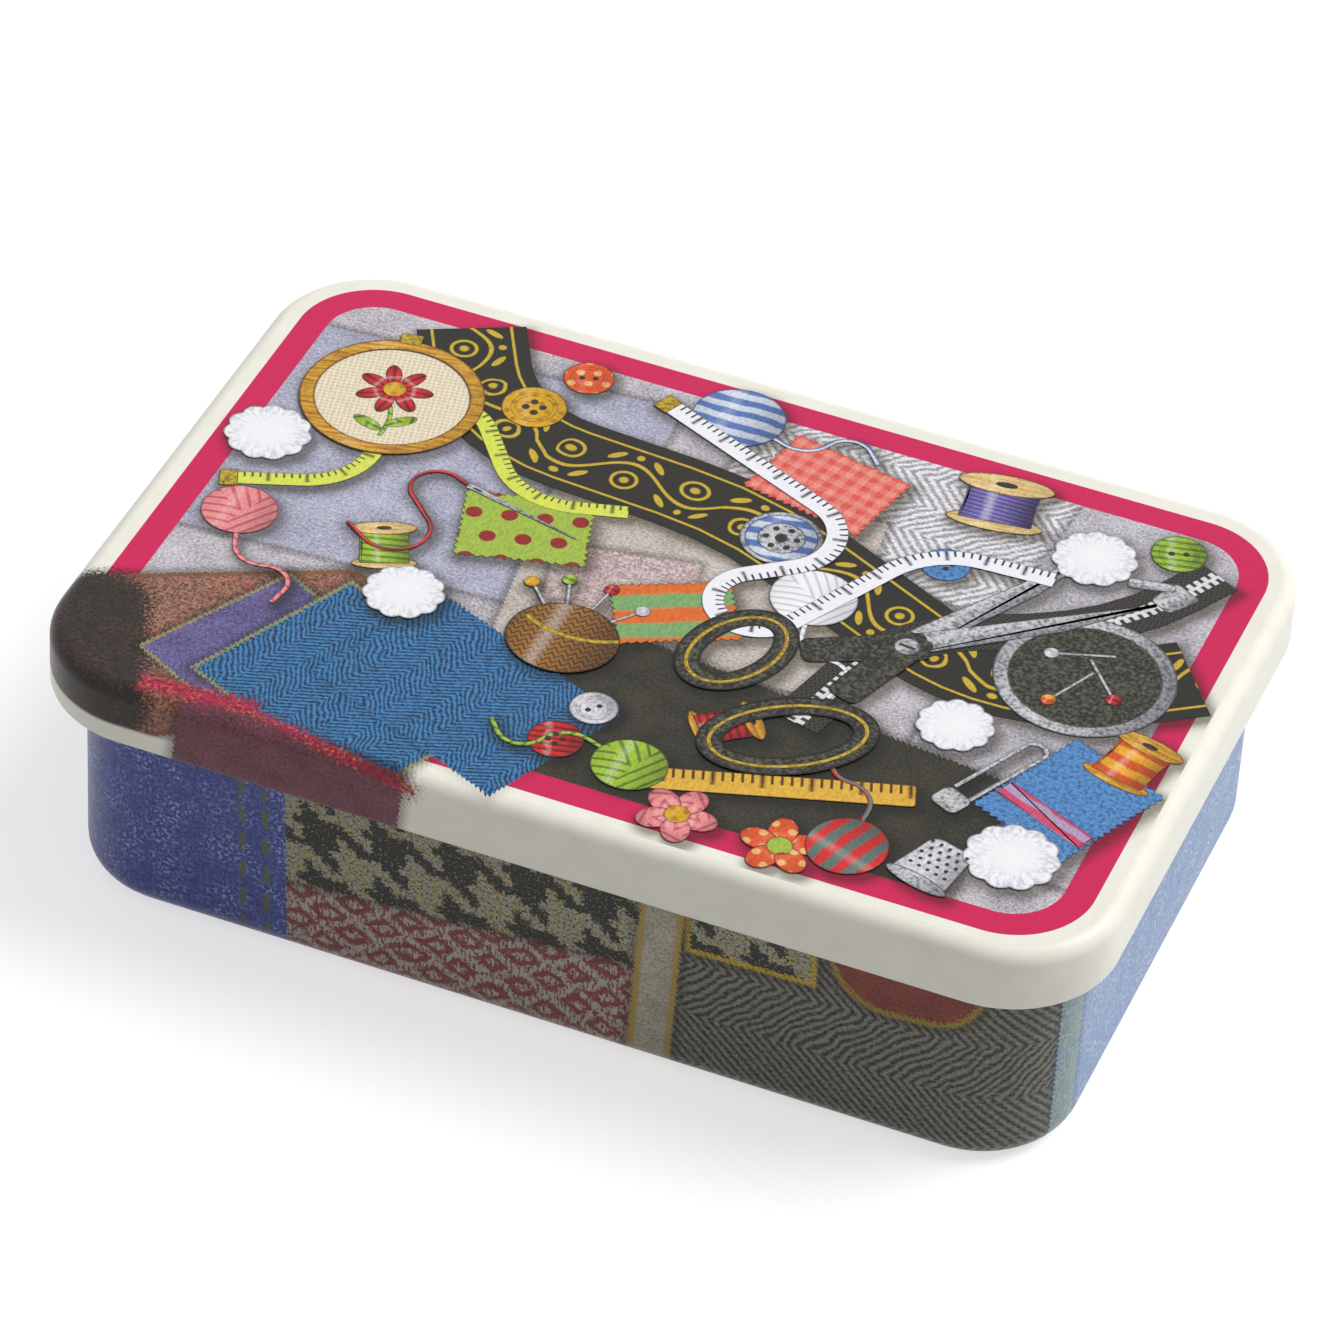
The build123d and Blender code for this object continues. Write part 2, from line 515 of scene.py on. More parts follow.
@dataclass(frozen=True)
class Sheet:
    """The flat sheet that a print is laid out on: the place on it, and the noise that its cloths share."""

    graph: Graph
    point: Socket
    fields: SocketMap

    @classmethod
    def lay_out(cls, graph: Graph, point: Socket) -> Sheet:
        """Return the sheet for a graph and the place on it in millimetres."""
        return cls(graph, point, SHEET_FIELDS.place(graph, {"Point": point}))

    def spot(self) -> Spot:
        """Return the place's x and y."""
        return self.fields["X"], self.fields["Y"]

    def weave(self, group: SharedGroup, values: dict[str, object]) -> Woven:
        """Place a cloth's group with the fields that it asks for.

        Args:
            group: The cloth's node group.
            values: Its other inputs.

        Returns:
            The cloth's colour and height.
        """
        shared = {name: socket for name, socket in self.fields.items() if name in group.inputs}
        made = group.place(self.graph, {**shared, **values})
        return made["Colour"], made["Height"]


@dataclass(frozen=True)
class Felt:
    """Felted wool: matted fine fibres, cloudy patches and a few coloured specks."""

    dark: Colour
    light: Colour
    tint: Colour
    fields: ClassVar[tuple[str, str, str]] = ("Matted", "Specks", "Grain")

    def weave(self, sheet: Sheet, spot: Spot) -> Woven:
        """Return the colour and the height of this cloth at a place."""
        blend, share, height = (sheet.fields[name] for name in self.fields)
        colour = sheet.graph.mix(blend, self.dark, self.light)
        return sheet.graph.mix(share, colour, self.tint), height


class Tweed(Felt):
    """Tweed: slubby yarns that cross, with knots of a third colour."""

    fields = ("Slubs", "Knots", "Cross")


@dataclass(frozen=True)
class Herringbone:
    """Herringbone twill, with its column and rib widths in millimetres."""

    dark: Colour
    light: Colour
    column: float
    rib: float

    def weave(self, sheet: Sheet, spot: Spot) -> Woven:
        """Return the colour and the height of this cloth at a place."""
        sizes = {**at(spot), "Column": self.column, "Rib": self.rib}
        return sheet.weave(HERRINGBONE, {"Dark": self.dark, "Light": self.light, **sizes})


@dataclass(frozen=True)
class Check:
    """Houndstooth check, with its thread width in millimetres."""

    dark: Colour
    light: Colour
    tint: Colour
    thread: float

    def weave(self, sheet: Sheet, spot: Spot) -> Woven:
        """Return the colour and the height of this cloth at a place."""
        colours = {"Dark": self.dark, "Light": self.light, "Tint": self.tint}
        return sheet.weave(CHECK, {**at(spot), "Thread": self.thread, **colours})


@dataclass(frozen=True)
class Jacquard:
    """Jacquard diamonds, with their repeat in millimetres."""

    dark: Colour
    light: Colour
    tint: Colour
    repeat: float

    def weave(self, sheet: Sheet, spot: Spot) -> Woven:
        """Return the colour and the height of this cloth at a place."""
        colours = {"Dark": self.dark, "Light": self.light, "Tint": self.tint}
        return sheet.weave(JACQUARD, {**at(spot), "Repeat": self.repeat, **colours})


@dataclass(frozen=True)
class Stitched:
    """A cloth with rows of running stitches on it, along the cloth's own y."""

    cloth: Tweed
    thread: Colour
    rows: tuple[float, ...]
    width: float = 0.9
    stitch: float = 1.7

    def weave(self, sheet: Sheet, spot: Spot) -> Woven:
        """Return the colour and the height of this cloth at a place."""
        graph = sheet.graph
        colour, height = self.cloth.weave(sheet, spot)
        shaken = graph.math("MULTIPLY_ADD", sheet.fields["Fleck"], 1.1, -0.55)
        dash = graph.rise(graph.math("PINGPONG", graph.math("ADD", spot[1], shaken), self.stitch), 0.4, 0.7)
        for row in self.rows:
            off = graph.math("ABSOLUTE", graph.math("SUBTRACT", graph.math("ADD", spot[0], shaken), row))
            share = graph.math("MULTIPLY", graph.rise(off, self.width / 2, self.width / 4), dash)
            colour = graph.mix(graph.math("MULTIPLY", share, 0.8), colour, self.thread)
        return colour, height


Cloth = Union[Felt, Herringbone, Check, Jacquard, Stitched]


@dataclass(frozen=True)
class Patch:
    """One piece of cloth in a printed patchwork: a turned rectangle with a pinked edge and a soft shadow."""

    cloth: Cloth
    centre: Place
    half: Place
    turn: float = 0.0
    tooth: float = 0.3
    edging: Colour | None = None
    edging_width: float = 0.7
    shadow: float = 0.55
    sideways: bool = False
    fray: float = 0.6
    corner: float = 0.3

    def lay(self, sheet: Sheet, below: Woven) -> Woven:
        """Lay this patch over what the sheet shows already.

        Args:
            sheet: The flat sheet.
            below: Colour and height of what lies under the patch.

        Returns:
            Colour and height with the patch on it.
        """
        graph = sheet.graph
        cut = SCRAP.place(
            graph,
            {
                **at(sheet.spot()),
                "Rough": sheet.fields["Rough"],
                "Centre X": self.centre[0],
                "Centre Y": self.centre[1],
                "Cosine": math.cos(math.radians(self.turn)),
                "Sine": math.sin(math.radians(self.turn)),
                "Half Length": self.half[0],
                "Half Width": self.half[1],
                "Corner": self.corner,
                "Tooth": self.tooth,
                "Fray": self.fray,
            },
        )
        outside = cut["Outside"]
        spot = cut["Along"], cut["Across"]
        if self.sideways:
            spot = graph.math("MULTIPLY", spot[1], -1.0), spot[0]
        colour, height = self.cloth.weave(sheet, spot)
        if self.edging:
            band = graph.rise(outside, -self.edging_width, -self.edging_width * 0.7)
            colour = graph.mix(graph.math("MULTIPLY", band, sheet.fields["Worn"]), colour, self.edging)
        inside = graph.rise(outside, 0.04, -0.04)
        dim = graph.math("MULTIPLY", graph.rise(outside, 1.3, 0.0), self.shadow)
        shaded = graph.mix(dim, below[0], graph.mix(1.0, below[0], ink(70, 62, 66), "MULTIPLY"))
        return graph.mix(inside, shaded, colour), graph.between(inside, below[1], height)


class Weave(Enum):
    """The cloths that the print uses, by name."""

    LAVENDER_FELT = Felt(ink(126, 126, 142), ink(203, 203, 222), ink(150, 150, 195))
    ROSE_TWEED = Tweed(ink(150, 128, 128), ink(222, 204, 202), ink(186, 150, 160))
    PALE_HERRINGBONE = Herringbone(ink(148, 144, 150), ink(240, 238, 242), 4.2, 1.15)
    SILVER_WOOL = Felt(ink(130, 127, 136), ink(218, 214, 220), ink(186, 174, 198))
    OATMEAL_FELT = Felt(ink(150, 142, 134), ink(224, 216, 208), ink(196, 168, 160))
    BLACK_VELVET = Felt(ink(18, 17, 12), ink(66, 63, 48), ink(44, 42, 33))
    STEEL_HERRINGBONE = Herringbone(ink(18, 42, 72), ink(64, 130, 184), 2.7, 0.66)
    BROWN_TWEED = Tweed(ink(74, 48, 40), ink(170, 128, 108), ink(176, 84, 60))
    DARK_TWEED = Tweed(ink(22, 19, 15), ink(52, 44, 37), ink(84, 50, 40))
    CRIMSON_FRAY = Tweed(ink(104, 18, 44), ink(190, 36, 80), ink(228, 120, 62))
    SCARLET_FRAY = Tweed(ink(112, 20, 44), ink(196, 40, 76), ink(222, 116, 66))
    PURPLE_WOOL = Felt(ink(54, 50, 90), ink(124, 116, 170), ink(110, 66, 100))
    MAROON_WOOL = Felt(ink(72, 34, 44), ink(128, 80, 90), ink(140, 60, 84))
    BLUE_WOOL = Tweed(ink(46, 54, 116), ink(88, 100, 172), ink(150, 158, 206))
    STITCHED_BLUE_WOOL = Stitched(BLUE_WOOL, ink(96, 100, 62), (0.0, 2.4))
    BLACK_CHECK = Check(ink(28, 28, 24), ink(168, 168, 156), ink(186, 166, 92), 0.875)
    MAROON_JACQUARD = Jacquard(ink(82, 42, 44), ink(182, 176, 164), ink(160, 80, 82), 5.6)
    GREY_SELVEDGE = Felt(ink(126, 122, 108), ink(198, 194, 178), ink(160, 130, 60))
    DARK_HERRINGBONE = Herringbone(ink(30, 32, 29), ink(134, 132, 120), 6.2, 1.1)
    LIGHT_BLUE_WOOL = Tweed(ink(80, 108, 156), ink(126, 156, 200), ink(178, 198, 220))
    TEAL_TWEED = Tweed(ink(104, 128, 138), ink(156, 176, 182), ink(150, 166, 90))
    BROWN_SUEDE = Felt(ink(84, 32, 28), ink(146, 72, 58), ink(150, 60, 40))


# ---------------------------------------------------------------------------------------------------------
# Finishes
# ---------------------------------------------------------------------------------------------------------


@dataclass(frozen=True)
class Varnish:
    """The varnished surface that every printed sheet has."""

    roughness: float = 0.3
    specular: float = 0.2
    coat_weight: float = 0.12
    coat_roughness: float = 0.14
    ripple: float = 0.06
    weave_depth: float = 0.02

    def close(self, graph: Graph, point: Socket, colour: Socket, height: Socket | None) -> bpy.types.Node:
        """Put the varnish over a printed colour.

        Args:
            graph: The material's graph.
            point: The place on the sheet in millimetres.
            colour: The printed colour.
            height: The height of a printed weave, if there is one.

        Returns:
            The Principled node, already linked to the material's output.
        """
        sheet = SHEET_SURFACE.place(graph, {"Point": point, "Base": self.roughness})
        raised = sheet["Height"]
        if height is not None:
            raised = graph.math("MULTIPLY_ADD", height, self.weave_depth / self.ripple, raised)
        bump = graph.node("ShaderNodeBump")
        graph.feed(bump.inputs["Height"], raised)
        graph.feed(bump.inputs["Strength"], self.ripple)
        graph.feed(bump.inputs["Distance"], 0.1 * MM)
        shader = graph.node("ShaderNodeBsdfPrincipled")
        graph.feed(shader.inputs["Base Color"], colour)
        graph.feed(shader.inputs["Roughness"], sheet["Roughness"])
        graph.feed(shader.inputs["Specular IOR Level"], self.specular)
        graph.feed(shader.inputs["Coat Weight"], self.coat_weight)
        graph.feed(shader.inputs["Coat Roughness"], self.coat_roughness)
        graph.feed(shader.inputs["Normal"], bump.outputs[0])
        output = graph.node("ShaderNodeOutputMaterial")
        graph.feed(output.inputs["Surface"], shader.outputs[0])
        return shader


def new_material(name: str) -> tuple[bpy.types.Material, Graph]:
    """Start an empty material.

    Args:
        name: The material's name.

    Returns:
        The material and its graph.
    """
    material = bpy.data.materials.new(name)
    material.use_nodes = True
    material.node_tree.nodes.clear()
    return material, Graph(material.node_tree)


@dataclass(frozen=True)
class CreamEnamel:
    """The cream ground coat of the lid."""

    colour: Colour = ink(238, 236, 224)
    dull: Colour = ink(234, 232, 218)

    def colour_at(self, sheet: Sheet) -> Socket:
        """Return the enamel's colour at a place, with its faint clouds and specks."""
        graph = sheet.graph
        specks = graph.rise(sheet.fields["Fleck"], 0.78, 0.84)
        tinted = graph.mix(graph.rise(sheet.fields["Cloud"], 0.35, 0.75), self.colour, self.dull)
        return graph.mix(graph.math("MULTIPLY", specks, 0.3), tinted, ink(176, 170, 150))


@dataclass(frozen=True)
class LidPrint:
    """The lid's print: cream enamel, a ruled band, and a patchwork picture inside it."""

    half_length: float
    half_width: float
    corner: float
    band_inset: float = 2.75
    band_width: float = 2.84
    hem_start: float = 3.5
    band_colour: Colour = ink(204, 28, 86)
    ground: Felt = Felt(ink(134, 130, 138), ink(222, 217, 222), ink(190, 176, 200))
    enamel: CreamEnamel = CreamEnamel()
    varnish: Varnish = Varnish()

    def picture(self) -> tuple[Patch, ...]:
        """Return the patches inside the band, the lowest first."""
        return (
            Patch(Weave.LAVENDER_FELT.value, (-31.0, 8.0), (22.0, 17.0), 4.0),
            Patch(Weave.PALE_HERRINGBONE.value, (18.0, 22.0), (21.0, 12.0), -3.0, sideways=True),
            Patch(Weave.OATMEAL_FELT.value, (0.0, 3.0), (16.0, 13.5), 8.0),
            Patch(Weave.ROSE_TWEED.value, (-5.0, -4.0), (7.0, 8.0), 12.0),
            Patch(Weave.SILVER_WOOL.value, (39.0, 4.0), (11.0, 27.0), -4.0),
            Patch(Weave.BLACK_VELVET.value, (13.0, -21.0), (25.0, 12.0), -7.0),
        )

    def spill(self) -> tuple[Patch, ...]:
        """Return the patches that cross the band and fold over the front edge, the lowest first."""
        olive = ink(148, 146, 84)
        return (
            Patch(
                Weave.BROWN_TWEED.value, (-35.4, -24.9), (14.5, 11.0),
                27.0, edging=ink(120, 82, 52), corner=3.0
            ),
            Patch(
                Weave.DARK_TWEED.value, (-50.5, -32.0), (9.5, 10.5), 24.0, corner=4.0, fray=7.0, shadow=0.9
            ),
            Patch(Weave.PURPLE_WOOL.value, (-31.5, -24.0), (8.0, 9.0), -28.0, edging=olive, edging_width=0.4),
            Patch(
                Weave.STEEL_HERRINGBONE.value, (-22.0, -25.0),
                (12.0, 10.0), -25.0, edging=olive, edging_width=0.45
            ),
            Patch(Weave.STEEL_HERRINGBONE.value, (-12.5, -21.5), (12.0, 8.5), -23.0, shadow=0.2),
        )

    def hem_patches(self) -> tuple[Patch, ...]:
        """Return the patches that go down over the hem as well, the lowest first."""
        return (
            Patch(Weave.MAROON_WOOL.value, (-24.6, -38.6), (11.4, 5.6), -5.0, fray=1.2),
            Patch(Weave.CRIMSON_FRAY.value, (-34.5, -32.2), (6.0, 1.3), 4.0, tooth=0.5, fray=5.0, shadow=0.3),
            Patch(
                Weave.SCARLET_FRAY.value, (-21.0, -33.8), (9.5, 0.7), -11.0, tooth=0.5, fray=5.0, shadow=0.3
            ),
        )

    def colour_at(self, graph: Graph, point: Socket, shade: Socket | None) -> Woven:
        """Colour the lid's sheet.

        Args:
            graph: The material's graph.
            point: The place on the flat sheet in millimetres.
            shade: How dark a printed shadow lies here, from 0 to 1, if the piece carries it.

        Returns:
            Colour and height.
        """
        sheet = Sheet.lay_out(graph, point)
        sizes = {"Half Length": self.half_length, "Half Width": self.half_width, "Corner": self.corner}
        edge = ROUND_PANEL.place(graph, {**at(sheet.spot()), **sizes})["Outside"]
        rubbed = {"Grain": sheet.fields["Grain"], "Stroke": sheet.fields["Warp"], "Amount": 0.1}
        band_colour = PENCIL_GRAIN.place(graph, {"Colour": self.band_colour, **rubbed})["Colour"]
        band = graph.rise(edge, 0.03 - self.band_inset, -0.03 - self.band_inset)
        enamel = self.enamel.colour_at(sheet)
        colour = graph.mix(band, enamel, band_colour)
        height = graph.math("MULTIPLY", sheet.fields["Grain"], 0.2)
        inner = self.band_inset + self.band_width
        if shade is not None:
            laid = self.ground.weave(sheet, sheet.spot())
            for patch in self.picture():
                laid = patch.lay(sheet, laid)
            panel = graph.rise(edge, 0.03 - inner, -0.03 - inner)
            colour = graph.mix(panel, colour, laid[0])
            height = graph.between(panel, height, laid[1])
        over: Woven = (colour, height)
        for patch in self.spill():
            over = patch.lay(sheet, over)
        if shade is None:
            hem = graph.rise(edge, self.hem_start, self.hem_start + 0.5)
            over = graph.mix(hem, over[0], enamel), over[1]
        for patch in self.hem_patches():
            over = patch.lay(sheet, over)
        if shade is None:
            return over
        dim = graph.mix(1.0, over[0], ink(112, 108, 92), "MULTIPLY")
        return graph.mix(shade, over[0], dim), over[1]

    def flat(self) -> bpy.types.Material:
        """Return the finish of the lid's flat top, which reads its place from Object coordinates."""
        material, graph = new_material("lid_top_print")
        point = graph.object_place()
        colour, height = self.colour_at(graph, point, graph.attribute("shade"))
        self.varnish.close(graph, point, colour, height)
        return material

    def folded(self, uv_map: str) -> bpy.types.Material:
        """Make the finish of the lid's shoulder, skirt and hem.

        Args:
            uv_map: The UV map that holds the place on the flat sheet.

        Returns:
            The material.
        """
        material, graph = new_material("lid_side_print")
        point = graph.sheet_place(uv_map)
        colour, height = self.colour_at(graph, point, None)
        edge = graph.attribute("edge")
        worn = EDGE_WEAR.place(graph, {"Point": graph.object_place(), "Edge": edge, "Amount": 0.62})["Mask"]
        colour = graph.mix(worn, colour, ink(176, 174, 166))
        shader = self.varnish.close(graph, point, colour, height)
        graph.feed(shader.inputs["Metallic"], worn)
        return material


@dataclass(frozen=True)
class WallPrint:
    """The base's print: bands and scrapes of cloth all round the wall."""

    varnish: Varnish = Varnish()

    def patches(self) -> tuple[Patch, ...]:
        """Return the patches round the wall, the lowest first."""
        return (
            Patch(Weave.BROWN_TWEED.value, (134.0, 14.0), (22.0, 20.0), 0.0),
            Patch(Weave.LIGHT_BLUE_WOOL.value, (82.0, 14.0), (30.5, 20.0), 0.0),
            Patch(Weave.LAVENDER_FELT.value, (-142.0, 14.0), (14.0, 20.0), 3.0),
            Patch(Weave.STEEL_HERRINGBONE.value, (-112.0, 14.0), (18.0, 20.0), -4.0),
            Patch(Weave.PALE_HERRINGBONE.value, (120.0, 24.0), (11.0, 12.0), 6.0, sideways=True),
            Patch(Weave.DARK_HERRINGBONE.value, (31.5, 14.0), (19.0, 20.0), 0.0, sideways=True),
            Patch(Weave.TEAL_TWEED.value, (52.2, 14.0), (1.8, 20.0), 0.0, shadow=0.3),
            Patch(Weave.BLACK_CHECK.value, (20.3, 20.8), (6.6, 5.2), 2.0, edging=ink(190, 160, 60), fray=1.4),
            Patch(Weave.MAROON_JACQUARD.value, (-8.0, 5.0), (18.2, 20.0), 0.0),
            Patch(Weave.BLACK_CHECK.value, (-10.5, 22.3), (20.0, 12.0), 4.5, fray=1.4),
            Patch(
                Weave.GREY_SELVEDGE.value, (11.5, 14.0), (2.3, 20.0), -2.0, edging=ink(170, 140, 56), fray=1.4
            ),
            Patch(Weave.STITCHED_BLUE_WOOL.value, (-30.2, 14.0), (4.6, 20.0), 1.5, shadow=0.0),
            Patch(
                Weave.BROWN_SUEDE.value, (35.4, 22.0), (7.8, 6.8),
                4.0, edging=ink(150, 130, 50), fray=2.0, corner=6.0
            ),
            Patch(Weave.MAROON_WOOL.value, (-92.0, 21.5), (9.0, 7.0), -5.0, edging=ink(196, 170, 70)),
        )

    def dress(self, uv_map: str) -> bpy.types.Material:
        """Make the wall's finish.

        Args:
            uv_map: The UV map that holds the place on the flat sheet.

        Returns:
            The material.
        """
        material, graph = new_material("wall_print")
        sheet = Sheet.lay_out(graph, graph.sheet_place(uv_map))
        laid = Weave.BLUE_WOOL.value.weave(sheet, sheet.spot())
        for patch in self.patches():
            laid = patch.lay(sheet, laid)
        self.varnish.close(graph, sheet.point, laid[0], laid[1])
        return material


@dataclass(frozen=True)
class BareTinplate:
    """Tinplate with nothing printed on it, under a thin clear lacquer."""

    name: str
    colour: Colour
    roughness: float = 0.3

    def dress(self) -> bpy.types.Material:
        """Return the finish, with rolling lines, faint spangle and handling marks."""
        material, graph = new_material(self.name)
        point = graph.object_place()
        lines = graph.noise(graph.vector("MULTIPLY", point, (0.4, 9.0, 9.0)), 1.0, 2.0, 0.6)
        spangle = graph.noise(point, 0.45, 1.0)
        marks = graph.rise(graph.noise(point, 0.2, 4.0, 0.7), 0.5, 0.75)
        shine = graph.math("MULTIPLY_ADD", lines, 0.5, graph.math("MULTIPLY", spangle, 0.5))
        dark = tuple(0.8 * share for share in self.colour[:3]) + (1.0,)
        colour = graph.mix(graph.rise(shine, 0.2, 0.7), dark, self.colour)
        sheet = SHEET_SURFACE.place(graph, {"Point": point, "Base": self.roughness})
        bump = graph.node("ShaderNodeBump")
        graph.feed(bump.inputs["Height"], graph.math("MULTIPLY_ADD", lines, 0.7, sheet["Height"]))
        graph.feed(bump.inputs["Strength"], 0.08)
        graph.feed(bump.inputs["Distance"], 0.05 * MM)
        shader = graph.node("ShaderNodeBsdfPrincipled")
        graph.feed(shader.inputs["Base Color"], colour)
        graph.feed(shader.inputs["Metallic"], 1.0)
        graph.feed(shader.inputs["Roughness"], graph.math("MULTIPLY_ADD", marks, 0.14, sheet["Roughness"]))
        graph.feed(shader.inputs["Normal"], bump.outputs[0])
        output = graph.node("ShaderNodeOutputMaterial")
        graph.feed(output.inputs["Surface"], shader.outputs[0])
        return material


class Marking(Enum):
    """What a motif's colour is drawn with."""

    PLAIN = "plain"
    STRIPES = "stripes"
    DOTS = "dots"
    GINGHAM = "gingham"
    WINDING = "winding"
    TICKS = "ticks"
    SCROLLS = "scrolls"
    TEETH = "teeth"
    WOOD = "wood"
    YARN = "yarn"
    KNIT = "knit"
    TUFTS = "tufts"


@dataclass(frozen=True)
class DrawnInk:
    """A motif's colour, drawn with pencil over print: its marks, its dark outline and its round shading.

    The mesh carries the place on the motif as u and v in millimetres, depth as 0 at the outline and 1 inside
    it, and bulge as -1 to 1 across a round thing.
    """

    base: Colour
    mark: Colour
    marking: Marking = Marking.PLAIN
    pitch: float = 1.0
    outline: Colour = ink(52, 46, 44)
    roundness: float = 0.0
    grain: float = 0.55

    def stripes(self, graph: Graph, place: Socket, pitch: float, share: float = 0.5) -> Socket:
        """Return 1 on stripes across a place that repeat at a pitch and take up a share of it."""
        wave = graph.math("PINGPONG", place, pitch / 2)
        return graph.rise(wave, pitch / 2 * (share + 0.12), pitch / 2 * (share - 0.12))

    def spot(self, graph: Graph, u: Operand, v: Operand, radius: float, soft: float = 0.08) -> Socket:
        """Return 1 within a radius of where u and v are zero."""
        distance = graph.math("SQRT", graph.math("MULTIPLY_ADD", u, u, graph.math("MULTIPLY", v, v)))
        return graph.rise(distance, radius + soft, radius - soft)

    def scrolls(self, graph: Graph, u: Socket, v: Socket) -> Socket:
        """Return 1 on a running scroll: a waving stem with curls, leaves, dots and two ruled borders."""
        pitch = self.pitch
        turn = graph.math("SINE", graph.math("MULTIPLY", u, 2 * math.pi / pitch))
        stem = graph.rise(
            graph.math("ABSOLUTE", graph.math("MULTIPLY_ADD", turn, -0.13 * pitch, v)), 0.3, 0.14
        )
        side = graph.math("SIGN", turn)
        half_u = graph.math("SUBTRACT", graph.math("FLOORED_MODULO", u, pitch / 2), pitch / 4)
        half_v = graph.math("MULTIPLY", v, side)
        curl_v = graph.math("ADD", half_v, 0.075 * pitch)
        away = graph.math(
            "SQRT", graph.math("MULTIPLY_ADD", half_u, half_u, graph.math("MULTIPLY", curl_v, curl_v))
        )
        ring = graph.rise(graph.math("ABSOLUTE", graph.math("SUBTRACT", away, 0.095 * pitch)), 0.24, 0.1)
        heart = graph.rise(away, 0.045 * pitch, 0.025 * pitch)
        leaf_u = graph.math("SUBTRACT", graph.math("ABSOLUTE", half_u), 0.17 * pitch)
        leaf_v = graph.math("SUBTRACT", half_v, 0.17 * pitch)
        slant = graph.math("ADD", leaf_u, graph.math("MULTIPLY", leaf_v, 0.8))
        leaf = self.spot(graph, graph.math("MULTIPLY", slant, 1.6), leaf_v, 0.058 * pitch)
        dot = self.spot(graph, half_u, graph.math("SUBTRACT", half_v, 0.215 * pitch), 0.03 * pitch)
        rail = graph.math("ABSOLUTE", graph.math("SUBTRACT", graph.math("ABSOLUTE", v), 0.3 * pitch))
        border = graph.rise(rail, 0.2, 0.08)
        shown = stem
        for part in (ring, heart, leaf, dot, border):
            shown = graph.math("MAXIMUM", shown, part)
        return shown

    def marks(self, graph: Graph, u: Socket, v: Socket, fields: SocketMap) -> Operand:
        """Return how much of the marking's colour shows at a place.

        Args:
            graph: The material's graph.
            u: The place along the motif in millimetres.
            v: The place across it.
            fields: The shared noise.

        Returns:
            A share from 0 to 1.
        """
        pitch = self.pitch
        waved = graph.math("MULTIPLY_ADD", fields["Cloud"], 0.8, v)
        if self.marking is Marking.STRIPES:
            return self.stripes(graph, waved, pitch)
        if self.marking is Marking.DOTS:
            row = graph.math("FLOOR", graph.math("DIVIDE", v, pitch))
            shifted = graph.math("MULTIPLY_ADD", row, pitch / 2, u)
            cell_u = graph.math("SUBTRACT", graph.math("FLOORED_MODULO", shifted, pitch), pitch / 2)
            cell_v = graph.math("SUBTRACT", graph.math("FLOORED_MODULO", v, pitch), pitch / 2)
            return self.spot(graph, cell_u, cell_v, 0.24 * pitch)
        if self.marking is Marking.GINGHAM:
            both = graph.math("ADD", self.stripes(graph, u, pitch), self.stripes(graph, v, pitch))
            return graph.math("MULTIPLY", both, 0.5)
        if self.marking is Marking.WINDING:
            return self.stripes(graph, graph.math("MULTIPLY_ADD", u, 0.12, v), pitch, 0.4)
        if self.marking is Marking.TICKS:
            small = self.stripes(graph, u, pitch, 0.3)
            large = self.stripes(graph, u, 5 * pitch, 0.09)
            near = graph.rise(v, 0.1, 0.3)
            tall = graph.rise(v, -0.5, -0.3)
            return graph.math(
                "MAXIMUM", graph.math("MULTIPLY", small, near), graph.math("MULTIPLY", large, tall)
            )
        if self.marking is Marking.SCROLLS:
            return self.scrolls(graph, u, v)
        if self.marking is Marking.TEETH:
            left = graph.math("MULTIPLY", self.stripes(graph, u, pitch, 0.55), graph.rise(v, -0.25, -0.1))
            across = graph.math("ADD", u, pitch / 2)
            right = graph.math("MULTIPLY", self.stripes(graph, across, pitch, 0.55), graph.rise(v, 0.25, 0.1))
            return graph.math("MAXIMUM", left, right)
        if self.marking is Marking.WOOD:
            grain = graph.noise(
                graph.join(graph.math("MULTIPLY", u, 0.25), graph.math("MULTIPLY", v, 2.4)), 1.0, 2.0
            )
            return graph.rise(grain, 0.35, 0.7)
        if self.marking is Marking.YARN:
            return self.yarn(graph, u, v)
        if self.marking is Marking.KNIT:
            zigzag = graph.math("PINGPONG", u, pitch / 2)
            return self.stripes(graph, graph.math("MULTIPLY_ADD", zigzag, 1.3, v), 0.8 * pitch, 0.35)
        if self.marking is Marking.TUFTS:
            out = graph.math("SQRT", graph.math("MULTIPLY_ADD", u, u, graph.math("MULTIPLY", v, v)))
            ray = graph.scaled(graph.join(u, v), graph.math("DIVIDE", 9.0, out))
            depth = graph.math("MULTIPLY", out, 1.4)
            tufts = graph.rise(
                graph.noise(graph.vector("ADD", ray, graph.join(0.0, 0.0, depth)), 1.0, 2.0), 0.4, 0.66
            )
            return graph.math("MULTIPLY", tufts, graph.rise(out, 0.2 * pitch, 1.3 * pitch))
        return graph.rise(fields["Fleck"], 0.35, 0.75)

    def yarn(self, graph: Graph, u: Socket, v: Socket) -> Socket:
        """Return 1 on the hollows between a ball's strands, which are wound in three directions."""
        bow = graph.math("MULTIPLY", graph.math("MULTIPLY", u, u), 0.05)
        flat = self.stripes(graph, graph.math("ADD", v, bow), self.pitch, 0.3)
        leant = graph.math("ADD", graph.math("MULTIPLY", u, 0.85), graph.math("MULTIPLY", v, 0.55))
        slanted = self.stripes(graph, graph.math("ADD", leant, bow), self.pitch, 0.3)
        back = graph.math("SUBTRACT", graph.math("MULTIPLY", u, 0.9), graph.math("MULTIPLY", v, 0.6))
        crossed = self.stripes(graph, back, self.pitch, 0.3)
        first = graph.rise(graph.math("MULTIPLY_ADD", u, 0.6, v), 0.05, -0.05)
        second = graph.rise(graph.math("MULTIPLY_ADD", u, 1.4, graph.math("MULTIPLY", v, -0.5)), 0.8, 0.7)
        return graph.between(second, crossed, graph.between(first, slanted, flat))

